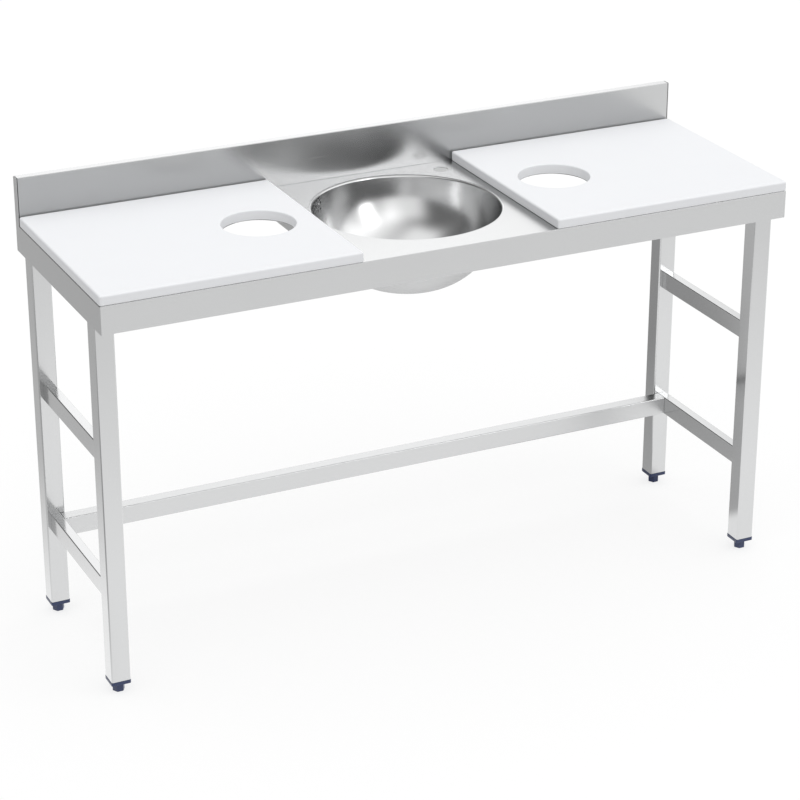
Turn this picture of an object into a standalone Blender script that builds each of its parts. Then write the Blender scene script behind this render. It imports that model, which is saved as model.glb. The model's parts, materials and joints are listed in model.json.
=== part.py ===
"""Stainless steel sink table with a round bowl, a backsplash and two loose cutting boards.

Metres, +Z up. The origin is on the floor at the middle of the table's footprint: +X runs to the
right along the front, +Y runs back to the backsplash.
"""

from math import acos, atan2, cos, hypot, pi, radians, sin, sqrt

import bmesh
import bpy
from mathutils import Matrix, Vector

# Clearance kept between pieces that touch
GAP = 0.0003

# Worktop sheet
TABLE_LENGTH = 1.500
TABLE_DEPTH = 0.500
WORKTOP_HEIGHT = 0.850
APRON_DEPTH = 0.058
SHEET = 0.0012
FOLD_RADIUS = 0.0025
LIP_WIDTH = 0.014

# Backsplash
SPLASH_RISE = 0.100
SPLASH_THICKNESS = 0.020

# Round bowl
BOWL_RIM_RADIUS = 0.1975
BOWL_SHOULDER_RADIUS = 0.004
BOWL_DEPTH = 0.166
BOWL_DRAFT = 0.0065
BOWL_SHEET = 0.001
BOWL_Y = 0.005

# Cutting boards and the waste holes through them and the worktop
BOARD_THICKNESS = 0.020
BOARD_EDGE_RADIUS = 0.004
BOARDS_APART = 0.425
BOARD_HOLE_RADIUS = 0.075
BOARD_HOLE_EDGE = 0.0012
WASTE_HOLE_RADIUS = 0.0755
WASTE_HOLE_INSET = 0.120

# Tap hole behind the bowl
TAP_HOLE_RADIUS = 0.016
TAP_HOLE_X = 0.165
TAP_HOLE_SETBACK = 0.050

# Legs and rails, square and rectangular tube
TUBE_WALL = 0.0012
LEG_WIDTH = 0.040
LEG_CORNER_RADIUS = 0.003
LEG_FRONT_SETBACK = 0.045
LEG_REAR_SETBACK = 0.042
RAIL_WIDTH = 0.020
RAIL_HEIGHT = 0.040
RAIL_CORNER_RADIUS = 0.002
MID_RAIL_TOP = 0.531
LOW_RAIL_TOP = 0.233
STRETCHER_WIDTH = 0.030

# Parts under the worktop that the legs are screwed to
END_RAIL_WIDTH = 0.040
END_RAIL_HEIGHT = 0.025
END_RAIL_WALL = 0.0015
CHANNEL_WIDTH = 0.040
CHANNEL_HEIGHT = 0.020
CHANNEL_SHEET = 0.0015
INNER_CHANNEL_X = 0.233
OUTER_CHANNEL_X = 0.480
PLATE_THICKNESS = 0.003
PLATE_LENGTH = 0.084
SCREW_RADIUS = 0.003
SCREW_LENGTH = 0.014
SCREW_HEAD_FLATS = 0.010
SCREW_HEAD_HEIGHT = 0.004
SCREW_INSET = 0.011

# Levelling feet and the caps in the leg ends
CAP_FLANGE_HEIGHT = 0.008
CAP_OVERHANG = 0.0005
CAP_PLUG_HEIGHT = 0.025
CAP_PLUG_CORNER = 0.0026
PAD_HEIGHT = 0.020
PAD_FLATS = 0.022
PAD_CHAMFER = 0.0012
PAD_SOCKET_FLOOR = 0.004
STUD_RADIUS = 0.005
STUD_LENGTH = 0.062
STUD_CHAMFER = 0.001

# Waste fitting in the bowl's floor
FLANGE_RADIUS = 0.038
FLANGE_THICKNESS = 0.0015
FLANGE_LAP = 0.002
NECK_RADIUS = 0.0235
NECK_WALL = 0.002
NECK_CLEARANCE = 0.001
UPPER_GASKET_THICKNESS = 0.001
LOWER_GASKET_THICKNESS = 0.0025
GASKET_RADIUS = 0.035
STRAINER_THICKNESS = 0.0015
STRAINER_HOLE_RADIUS = 0.003
STRAINER_HOLE_RING = 0.0145
STRAINER_HOLE_COUNT = 8
WASTE_CHAMBER_RADIUS = 0.031
WASTE_CHAMBER_HEIGHT = 0.0094
WASTE_TAIL_RADIUS = 0.0239
WASTE_TAIL_HEIGHT = 0.004
WASTE_BORE_RADIUS = 0.0205
WEB_WIDTH = 0.004
WEB_HEIGHT = 0.005
BOSS_RADIUS = 0.0055
WASTE_SCREW_RADIUS = 0.003
WASTE_SCREW_HEAD_RADIUS = 0.0055
WASTE_SCREW_HEAD_HEIGHT = 0.0022
PLUG_DISC_RADIUS = 0.0255
PLUG_DISC_THICKNESS = 0.003
PLUG_STEM_RADIUS = 0.003
PLUG_KNOB_RADIUS = 0.0055
PLUG_KNOB_HEIGHT = 0.013
# Where a round edge starts, as a share of the whole
PLUG_CROWN = 0.8
HEAD_CROWN = 0.6

# Overflow in the bowl's wall, its elbow and its hose
OVERFLOW_ANGLE = radians(136)
OVERFLOW_DROP = 0.0187
OVERFLOW_HOLE_RADIUS = 0.0025
OVERFLOW_RING_RADIUS = 0.0125
OVERFLOW_HOLE_COUNT = 6
OVERFLOW_GASKET_THICKNESS = 0.0025
ELBOW_WALL = 0.0015
ELBOW_DEPTH = 0.019
ELBOW_BOSS_RADIUS = 0.0045
ELBOW_SPIGOT_LENGTH = 0.034
SPIGOT_RADIUS = 0.0045
SPIGOT_WALL = 0.0012
DRAIN_SPIGOT_LENGTH = 0.026
OVERFLOW_SCREW_RADIUS = 0.002
OVERFLOW_SCREW_HEAD_RADIUS = 0.0035
OVERFLOW_SCREW_HEAD_HEIGHT = 0.0018
OVERFLOW_SCREW_LENGTH = 0.016
HOSE_WALL = 0.0018
HOSE_LAP = 0.013
HOSE_STRAIGHT = 0.006
HOSE_PULL = 0.6
HOSE_KNOTS = 6
CLIP_WIDTH = 0.007
CLIP_THICKNESS = 0.0008
CLIP_HOUSING = (0.006, 0.010, 0.007)

# Facets
BOWL_SEGMENTS = 56
BOWL_STEPS = 9
HOLE_SEGMENTS = 40
WASTE_SEGMENTS = 32
TAP_HOLE_SEGMENTS = 24
SMALL_SEGMENTS = 16
SCREW_SEGMENTS = 12
KNOB_STEPS = 6
HOSE_STEPS = 3
FOLD_STEPS = 3
CORNER_STEPS = 3
SHARP_ANGLE = radians(32)
OVERCUT = 0.010

# Places worked out from the sizes above
X_END = TABLE_LENGTH / 2
Y_FRONT = -TABLE_DEPTH / 2
Y_REAR = TABLE_DEPTH / 2
SPLASH_FRONT = Y_REAR - SPLASH_THICKNESS
SPLASH_TOP = WORKTOP_HEIGHT + SPLASH_RISE
APRON_BOTTOM = WORKTOP_HEIGHT - APRON_DEPTH
DECK_UNDER = WORKTOP_HEIGHT - SHEET
INSIDE_X = X_END - SHEET - GAP
INSIDE_FRONT = Y_FRONT + SHEET + GAP
INSIDE_REAR = Y_REAR - SHEET - GAP
LEG_X = INSIDE_X - LEG_WIDTH / 2
LEG_FRONT_Y = Y_FRONT + LEG_FRONT_SETBACK + LEG_WIDTH / 2
LEG_REAR_Y = Y_REAR - LEG_REAR_SETBACK - LEG_WIDTH / 2
LEG_BOTTOM = PAD_HEIGHT + CAP_FLANGE_HEIGHT + GAP
END_RAIL_TOP = DECK_UNDER - GAP
END_RAIL_UNDER = END_RAIL_TOP - END_RAIL_HEIGHT
PLATE_TOP = END_RAIL_UNDER - GAP
LEG_TOP = PLATE_TOP - PLATE_THICKNESS - GAP
BOARD_INNER_X = BOARDS_APART / 2
WASTE_HOLE_X = BOARD_INNER_X + WASTE_HOLE_INSET
BOARD_MIDDLE_Y = (Y_FRONT + SPLASH_FRONT - GAP) / 2
TAP_HOLE_Y = SPLASH_FRONT - TAP_HOLE_SETBACK
BOWL_FLOOR = WORKTOP_HEIGHT - BOWL_DEPTH
BOWL_FLOOR_RADIUS = FLANGE_RADIUS - FLANGE_LAP
BOWL_CORNER_RADIUS = BOWL_RIM_RADIUS - BOWL_DRAFT - BOWL_FLOOR_RADIUS
BOWL_UNDER = BOWL_FLOOR - BOWL_SHEET
ELBOW_BORE = OVERFLOW_RING_RADIUS + OVERFLOW_HOLE_RADIUS + GAP
ELBOW_RADIUS = ELBOW_BORE + ELBOW_WALL
SIDES = {"left": -1, "right": 1}
ENDS = {"front": LEG_FRONT_Y, "rear": LEG_REAR_Y}

# The bowl's section, as (radius, height): the shoulder's and the corner's centres, and the tilt
# of the straight wall that is tangent to both
SHOULDER_CENTRE = (BOWL_RIM_RADIUS, WORKTOP_HEIGHT - BOWL_SHOULDER_RADIUS)
CORNER_CENTRE = (BOWL_FLOOR_RADIUS, BOWL_FLOOR + BOWL_CORNER_RADIUS)
CENTRES_APART = hypot(SHOULDER_CENTRE[0] - CORNER_CENTRE[0], SHOULDER_CENTRE[1] - CORNER_CENTRE[1])
CENTRES_SLOPE = atan2(SHOULDER_CENTRE[1] - CORNER_CENTRE[1], SHOULDER_CENTRE[0] - CORNER_CENTRE[0])
WALL_TILT = CENTRES_SLOPE - acos((BOWL_SHOULDER_RADIUS + BOWL_CORNER_RADIUS) / CENTRES_APART)


# Scene and materials


def clear_scene():
    for obj in list(bpy.data.objects):
        bpy.data.objects.remove(obj, do_unlink=True)


def make_material(name, colour, roughness, metallic):
    material = bpy.data.materials.new(name)
    material.use_nodes = True
    shader = material.node_tree.nodes["Principled BSDF"]
    shader.inputs["Base Color"].default_value = (*colour, 1)
    shader.inputs["Roughness"].default_value = roughness
    shader.inputs["Metallic"].default_value = metallic
    material.diffuse_color = (*colour, 1)
    return material


def make_materials():
    return {
        "worktop": make_material("worktop_steel", (0.78, 0.79, 0.79), 0.28, 1.0),
        "bowl": make_material("bowl_steel", (0.74, 0.75, 0.75), 0.18, 1.0),
        "tube": make_material("tube_steel", (0.72, 0.73, 0.73), 0.24, 1.0),
        "fitting": make_material("fitting_steel", (0.66, 0.67, 0.68), 0.30, 1.0),
        "board": make_material("white_polyethylene", (0.90, 0.91, 0.93), 0.45, 0.0),
        "foot": make_material("navy_plastic", (0.018, 0.040, 0.130), 0.40, 0.0),
        "rubber": make_material("black_rubber", (0.03, 0.03, 0.03), 0.70, 0.0),
        "waste": make_material("grey_plastic", (0.55, 0.56, 0.57), 0.45, 0.0),
    }


# Making meshes


def add_object(name, bm, material, location=(0, 0, 0), smooth=False):
    """A named object from a closed bmesh, with its faces pointing out."""
    bmesh.ops.recalc_face_normals(bm, faces=bm.faces)
    mesh = bpy.data.meshes.new(name)
    bm.to_mesh(mesh)
    bm.free()
    if smooth:
        mesh.shade_smooth()
        mesh.set_sharp_from_angle(angle=SHARP_ANGLE)
    if material:
        mesh.materials.append(material)
    obj = bpy.data.objects.new(name, mesh)
    obj.location = location
    bpy.context.scene.collection.objects.link(obj)
    return obj


def add_cutter(name, bm, location=(0, 0, 0)):
    cutter = add_object(name, bm, None, location)
    cutter.hide_render = True
    cutter.display_type = "WIRE"
    return cutter


def boolean(obj, other, operation="DIFFERENCE"):
    modifier = obj.modifiers.new(other.name, "BOOLEAN")
    modifier.operation = operation
    modifier.object = other
    modifier.solver = "EXACT"


def placed(axis, u, v, w):
    """The point (u, v) of a flat outline at height w along an axis."""
    return {"X": (w, u, v), "Y": (u, w, v), "Z": (u, v, w)}[axis]


def prism(outline, low, high, axis="Z", bm=None):
    """A closed prism over a flat outline."""
    bm = bm or bmesh.new()
    rings = [[bm.verts.new(placed(axis, u, v, w)) for u, v in outline] for w in (low, high)]
    count = len(outline)
    for i in range(count):
        j = (i + 1) % count
        bm.faces.new((rings[0][i], rings[0][j], rings[1][j], rings[1][i]))
    for ring in rings:
        bm.faces.new(ring)
    return bm


def hollow_prism(outer, inner, low, high, axis="Z"):
    """A tube with open ends between two outlines of as many points."""
    bm = bmesh.new()
    loops = [
        [bm.verts.new(placed(axis, u, v, w)) for u, v in outline]
        for outline, w in ((outer, low), (outer, high), (inner, high), (inner, low))
    ]
    count = len(outer)
    for k in range(4):
        one, two = loops[k], loops[(k + 1) % 4]
        for i in range(count):
            j = (i + 1) % count
            bm.faces.new((one[i], one[j], two[j], two[i]))
    return bm


def rectangle(width, height, radius=0.0, middle=(0, 0), steps=CORNER_STEPS):
    """The outline of a rectangle, with round corners where radius is given."""
    u, v = middle
    if radius == 0:
        return [
            (u + a * width / 2, v + b * height / 2) for a, b in ((-1, -1), (1, -1), (1, 1), (-1, 1))
        ]
    points = []
    for quarter, (a, b) in enumerate(((1, 1), (-1, 1), (-1, -1), (1, -1))):
        centre_u = u + a * (width / 2 - radius)
        centre_v = v + b * (height / 2 - radius)
        for i in range(steps + 1):
            angle = (quarter + i / steps) * pi / 2
            points.append((centre_u + radius * cos(angle), centre_v + radius * sin(angle)))
    return points


def circle(radius, segments, middle=(0, 0), turn=0.0):
    return [
        (
            middle[0] + radius * cos(turn + 2 * pi * i / segments),
            middle[1] + radius * sin(turn + 2 * pi * i / segments),
        )
        for i in range(segments)
    ]


def hexagon(flats):
    return circle(flats / sqrt(3), 6)


def folded_outline(path, thickness, radius):
    """The outline of a sheet with right-angle folds to the right, its outer side along path."""
    outer, inner = [], []
    for k in range(len(path) - 1):
        (u0, v0), (u1, v1) = path[k], path[k + 1]
        run = hypot(u1 - u0, v1 - v0)
        along = ((u1 - u0) / run, (v1 - v0) / run)
        right = (along[1], -along[0])
        if k == 0:
            outer.append((u0, v0))
            inner.append((u0 + thickness * right[0], v0 + thickness * right[1]))
        if k == len(path) - 2:
            outer.append((u1, v1))
            inner.append((u1 + thickness * right[0], v1 + thickness * right[1]))
            break
        centre = (
            u1 + radius * (right[0] - along[0]),
            v1 + radius * (right[1] - along[1]),
        )
        for i in range(FOLD_STEPS + 1):
            angle = i / FOLD_STEPS * pi / 2
            away = (
                along[0] * sin(angle) - right[0] * cos(angle),
                along[1] * sin(angle) - right[1] * cos(angle),
            )
            outer.append((centre[0] + radius * away[0], centre[1] + radius * away[1]))
            bend = radius - thickness
            inner.append((centre[0] + bend * away[0], centre[1] + bend * away[1]))
    return outer + inner[::-1]


def arc(centre, radius, start, end, steps):
    return [
        (
            centre[0] + radius * cos(start + (end - start) * i / steps),
            centre[1] + radius * sin(start + (end - start) * i / steps),
        )
        for i in range(steps + 1)
    ]


def turned(profile, segments, bm=None):
    """A body turned about +Z from a closed (radius, height) profile; a radius of 0 is a pole."""
    bm = bm or bmesh.new()
    rings = []
    for radius, height in profile:
        if radius == 0:
            rings.append([bm.verts.new((0, 0, height))] * segments)
        else:
            rings.append([bm.verts.new((u, v, height)) for u, v in circle(radius, segments)])
    for k in range(len(rings)):
        one, two = rings[k], rings[(k + 1) % len(rings)]
        if one[0] is one[1] and two[0] is two[1]:
            continue
        for i in range(segments):
            j = (i + 1) % segments
            corners = dict.fromkeys((one[i], one[j], two[j], two[i]))
            bm.faces.new(tuple(corners))
    return bm


def ring_profile(outer, inner, low, high):
    return [(outer, low), (outer, high), (inner, high), (inner, low)]


def disc_profile(radius, low, high, chamfer=0.0):
    if chamfer == 0:
        return [(0, low), (radius, low), (radius, high), (0, high)]
    return [
        (0, low),
        (radius - chamfer, low),
        (radius, low + chamfer),
        (radius, high - chamfer),
        (radius - chamfer, high),
        (0, high),
    ]


def turned_onto(profile, segments, place, bm=None):
    """A turned body whose +Z axis is carried over by a placing matrix."""
    piece = turned(profile, segments)
    piece.transform(place)
    if bm is None:
        return piece
    mesh = bpy.data.meshes.new("joined")
    piece.to_mesh(mesh)
    piece.free()
    bm.from_mesh(mesh)
    bpy.data.meshes.remove(mesh)
    return bm


def aimed(origin, direction):
    """The matrix that puts local +Z along direction, at origin."""
    turn = Vector(direction).to_track_quat("Z", "Y").to_matrix().to_4x4()
    return Matrix.Translation(origin) @ turn


def swept_tube(points, outer, inner, segments):
    """A tube with open ends along a smooth row of points."""
    bm = bmesh.new()
    frames = []
    side = None
    for k, point in enumerate(points):
        ahead = points[min(k + 1, len(points) - 1)]
        behind = points[max(k - 1, 0)]
        along = (ahead - behind).normalized()
        if side is None:
            side = along.orthogonal().normalized()
        side = (side - along * side.dot(along)).normalized()
        frames.append((point, side, along.cross(side)))
    loops = []
    for radius in (outer, inner):
        loops.append(
            [
                [bm.verts.new(point + a * u + b * v) for u, v in circle(radius, segments)]
                for point, a, b in frames
            ]
        )
    for rows in loops:
        for k in range(len(rows) - 1):
            for i in range(segments):
                j = (i + 1) % segments
                bm.faces.new((rows[k][i], rows[k][j], rows[k + 1][j], rows[k + 1][i]))
    for end in (0, -1):
        for i in range(segments):
            j = (i + 1) % segments
            bm.faces.new((loops[0][end][i], loops[0][end][j], loops[1][end][j], loops[1][end][i]))
    return bm


def smooth_points(knots, steps):
    """Points on a smooth curve through the knots."""
    padded = [2 * knots[0] - knots[1], *knots, 2 * knots[-1] - knots[-2]]
    points = []
    for k in range(1, len(padded) - 2):
        a, b, c, d = padded[k - 1 : k + 3]
        for i in range(steps):
            t = i / steps
            points.append(
                0.5
                * (
                    2 * b
                    + (c - a) * t
                    + (2 * a - 5 * b + 4 * c - d) * t**2
                    + (3 * b - a - 3 * c + d) * t**3
                )
            )
    points.append(knots[-1].copy())
    return points


def curve_point(start, corner, end, share):
    """A point on the curve that leaves start towards corner and comes into end from it."""
    one, two = start.lerp(corner, HOSE_PULL), end.lerp(corner, HOSE_PULL)
    rest = 1 - share
    return rest**3 * start + 3 * rest**2 * share * one + 3 * rest * share**2 * two + share**3 * end


# Worktop and backsplash


def rear_end(height):
    """How far back a side apron reaches at a height: its top is mitred to meet the backsplash's end."""
    return min(Y_REAR, SPLASH_FRONT - GAP * sqrt(2) + WORKTOP_HEIGHT - height)


def apron_ring(bm, inset, height):
    """Points round the aprons from left rear to right rear, inset from the outer side."""
    ring = [bm.verts.new((inset - X_END, rear_end(height), height))]
    for side, start in ((-1, pi), (1, 1.5 * pi)):
        centre = (side * (X_END - FOLD_RADIUS), Y_FRONT + FOLD_RADIUS)
        if inset == FOLD_RADIUS:
            ring += [bm.verts.new((*centre, height))] * (FOLD_STEPS + 1)
            continue
        for u, v in arc(centre, FOLD_RADIUS - inset, start, start + pi / 2, FOLD_STEPS):
            ring.append(bm.verts.new((u, v, height)))
    ring.append(bm.verts.new((X_END - inset, rear_end(height), height)))
    return ring


def apron_rings(bm, skin, low):
    """The rings of the aprons' outer side, or of the side a skin further in, from low to the deck."""
    bend = FOLD_RADIUS - skin
    mitre_foot = SPLASH_FRONT - GAP * sqrt(2) + WORKTOP_HEIGHT - Y_REAR
    places = [(skin, low), (skin, mitre_foot)]
    centre_height = WORKTOP_HEIGHT - FOLD_RADIUS
    for i in range(FOLD_STEPS):
        angle = i / FOLD_STEPS * pi / 2
        places.append((FOLD_RADIUS - bend * cos(angle), centre_height + bend * sin(angle)))
    places.append((FOLD_RADIUS, WORKTOP_HEIGHT - skin))
    return [apron_ring(bm, inset, height) for inset, height in places]


def build_worktop(materials):
    bm = bmesh.new()
    outer = apron_rings(bm, 0, APRON_BOTTOM)
    inner = apron_rings(bm, SHEET, APRON_BOTTOM + SHEET)
    count = len(outer[0])

    # The lip's back corners, at the lip's underside and top, and the side aprons' inner rear feet
    lip_y = Y_FRONT + LIP_WIDTH
    wall_x = X_END - SHEET
    lip_low = [bm.verts.new((side * wall_x, lip_y, APRON_BOTTOM)) for side in (-1, 1)]
    lip_high = [bm.verts.new((side * wall_x, lip_y, APRON_BOTTOM + SHEET)) for side in (-1, 1)]
    feet = [bm.verts.new((side * wall_x, Y_REAR, APRON_BOTTOM)) for side in (-1, 1)]

    for rings in (outer, inner):
        for k in range(len(rings) - 1):
            one, two = rings[k], rings[k + 1]
            for i in range(count - 1):
                corners = list(dict.fromkeys((one[i], one[i + 1], two[i + 1], two[i])))
                if one is inner[0] and i in (0, count - 2):
                    corners.insert(1, lip_high[0 if i == 0 else 1])
                if len(corners) > 2:
                    bm.faces.new(corners)

    bm.faces.new([*outer[0], feet[1], lip_low[1], lip_low[0], feet[0]])
    bm.faces.new([*inner[0][1:-1], lip_high[1], lip_high[0]])
    bm.faces.new([lip_low[0], lip_low[1], lip_high[1], lip_high[0]])
    deck_rear = {}
    for end, way in ((0, -1), (-1, 1)):
        place = 0 if way < 0 else 1
        bm.faces.new([feet[place], lip_low[place], lip_high[place], inner[0][end]])
        bm.faces.new([outer[0][end], outer[1][end], inner[1][end], inner[0][end], feet[place]])
        bm.faces.new([ring[end] for ring in outer[1:]] + [ring[end] for ring in inner[:0:-1]])
        x = way * (X_END - FOLD_RADIUS)
        high = bm.verts.new((x, INSIDE_REAR, WORKTOP_HEIGHT))
        low = bm.verts.new((x, INSIDE_REAR, DECK_UNDER))
        bm.faces.new([outer[-1][end], high, low, inner[-1][end]])
        deck_rear[way] = (high, low)
    for rings, level in ((outer, 0), (inner, 1)):
        edge = list(dict.fromkeys(rings[-1]))
        bm.faces.new([*edge, deck_rear[1][level], deck_rear[-1][level]])
    bm.faces.new([*deck_rear[-1], *deck_rear[1][::-1]])
    sheet = add_object("worktop_sheet", bm, materials["worktop"])

    holes = bmesh.new()
    reach = (DECK_UNDER - OVERCUT, WORKTOP_HEIGHT + OVERCUT)
    prism(circle(BOWL_RIM_RADIUS + GAP, BOWL_SEGMENTS, (0, BOWL_Y)), *reach, bm=holes)
    prism(circle(TAP_HOLE_RADIUS, TAP_HOLE_SEGMENTS, (TAP_HOLE_X, TAP_HOLE_Y)), *reach, bm=holes)
    for side in SIDES.values():
        middle = (side * WASTE_HOLE_X, BOARD_MIDDLE_Y)
        prism(circle(WASTE_HOLE_RADIUS, HOLE_SEGMENTS, middle), *reach, bm=holes)
    boolean(sheet, add_cutter("cut_worktop_holes", holes))


def build_backsplash(materials):
    path = [
        (SPLASH_FRONT, WORKTOP_HEIGHT + GAP),
        (SPLASH_FRONT, SPLASH_TOP),
        (Y_REAR, SPLASH_TOP),
        (Y_REAR, APRON_BOTTOM),
        (Y_REAR - LIP_WIDTH, APRON_BOTTOM),
    ]
    bm = prism(folded_outline(path, SHEET, FOLD_RADIUS), -INSIDE_X, INSIDE_X, "X")
    add_object("backsplash", bm, materials["worktop"])

    front_corner = (SPLASH_FRONT + FOLD_RADIUS, SPLASH_TOP - FOLD_RADIUS)
    rear_corner = (Y_REAR - FOLD_RADIUS, SPLASH_TOP - FOLD_RADIUS)
    end = [(SPLASH_FRONT, WORKTOP_HEIGHT)]
    end += arc(front_corner, FOLD_RADIUS, pi, pi / 2, FOLD_STEPS)
    end += arc(rear_corner, FOLD_RADIUS, pi / 2, 0, FOLD_STEPS)
    end += [(Y_REAR, WORKTOP_HEIGHT - SPLASH_THICKNESS)]
    for name, side in SIDES.items():
        bm = prism(end, side * (X_END - SHEET), side * X_END, "X")
        add_object(f"backsplash_end_{name}", bm, materials["worktop"])


# Bowl, waste and overflow


def bowl_side(offset, steps):
    """The bowl's section from rim to floor, on the sheet's inner side (0) or offset out from it."""
    shoulder = BOWL_SHOULDER_RADIUS - offset
    corner = BOWL_CORNER_RADIUS + offset
    top = arc(SHOULDER_CENTRE, shoulder, pi / 2, pi + WALL_TILT, max(2, steps // 3))
    return top + arc(CORNER_CENTRE, corner, WALL_TILT, -pi / 2, steps)


def build_bowl(materials):
    hole = NECK_RADIUS + NECK_CLEARANCE
    inner = bowl_side(0, BOWL_STEPS) + [(hole, BOWL_FLOOR)]
    outer = bowl_side(BOWL_SHEET, BOWL_STEPS) + [(hole, BOWL_UNDER)]
    bm = turned(inner + outer[::-1], BOWL_SEGMENTS)
    bowl = add_object("sink_bowl", bm, materials["bowl"], (0, BOWL_Y, 0), smooth=True)

    wall_point, outward = overflow_place(0)
    holes = bmesh.new()
    place = aimed(wall_point - Vector((0, BOWL_Y, 0)), outward)
    reach = disc_profile(OVERFLOW_HOLE_RADIUS, -OVERCUT, OVERCUT)
    for u, v in overflow_pattern():
        turned_onto(reach, SCREW_SEGMENTS, place @ Matrix.Translation((u, v, 0)), holes)
    boolean(bowl, add_cutter("cut_overflow_holes", holes, (0, BOWL_Y, 0)))


def overflow_pattern():
    """The overflow's holes as places on the wall: one in the middle and a ring round it."""
    return [(0, 0)] + circle(OVERFLOW_RING_RADIUS, OVERFLOW_HOLE_COUNT)


def overflow_place(offset):
    """The overflow's middle on the bowl's straight wall, offset out from its inner side, and the way
    out."""
    height = WORKTOP_HEIGHT - OVERFLOW_DROP
    across = BOWL_CORNER_RADIUS - sin(WALL_TILT) * (height - CORNER_CENTRE[1])
    radius = CORNER_CENTRE[0] + across / cos(WALL_TILT)
    around = Vector((cos(OVERFLOW_ANGLE), sin(OVERFLOW_ANGLE), 0))
    outward = around * cos(WALL_TILT) + Vector((0, 0, sin(WALL_TILT)))
    point = around * radius + Vector((0, BOWL_Y, height))
    return point + outward * offset, outward


def waste_heights():
    """Heights in the waste fitting, worked out from the bowl's floor."""
    z = {"upper_gasket": BOWL_FLOOR + GAP}
    z["flange"] = z["upper_gasket"] + UPPER_GASKET_THICKNESS + GAP
    z["flange_top"] = z["flange"] + FLANGE_THICKNESS
    z["lower_gasket"] = BOWL_UNDER - GAP - LOWER_GASKET_THICKNESS
    z["chamber_top"] = z["lower_gasket"] - GAP
    z["strainer"] = z["chamber_top"] + GAP
    z["strainer_top"] = z["strainer"] + STRAINER_THICKNESS
    z["chamber"] = z["chamber_top"] - WASTE_CHAMBER_HEIGHT
    z["tail"] = z["chamber"] - WASTE_TAIL_HEIGHT
    z["spigot"] = (z["chamber_top"] + z["chamber"]) / 2
    z["screw_head"] = z["strainer_top"] + GAP
    z["plug"] = z["screw_head"] + WASTE_SCREW_HEAD_HEIGHT + GAP
    z["plug_disc"] = z["flange_top"] + GAP
    z["plug_disc_top"] = z["plug_disc"] + PLUG_DISC_THICKNESS
    return z


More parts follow.
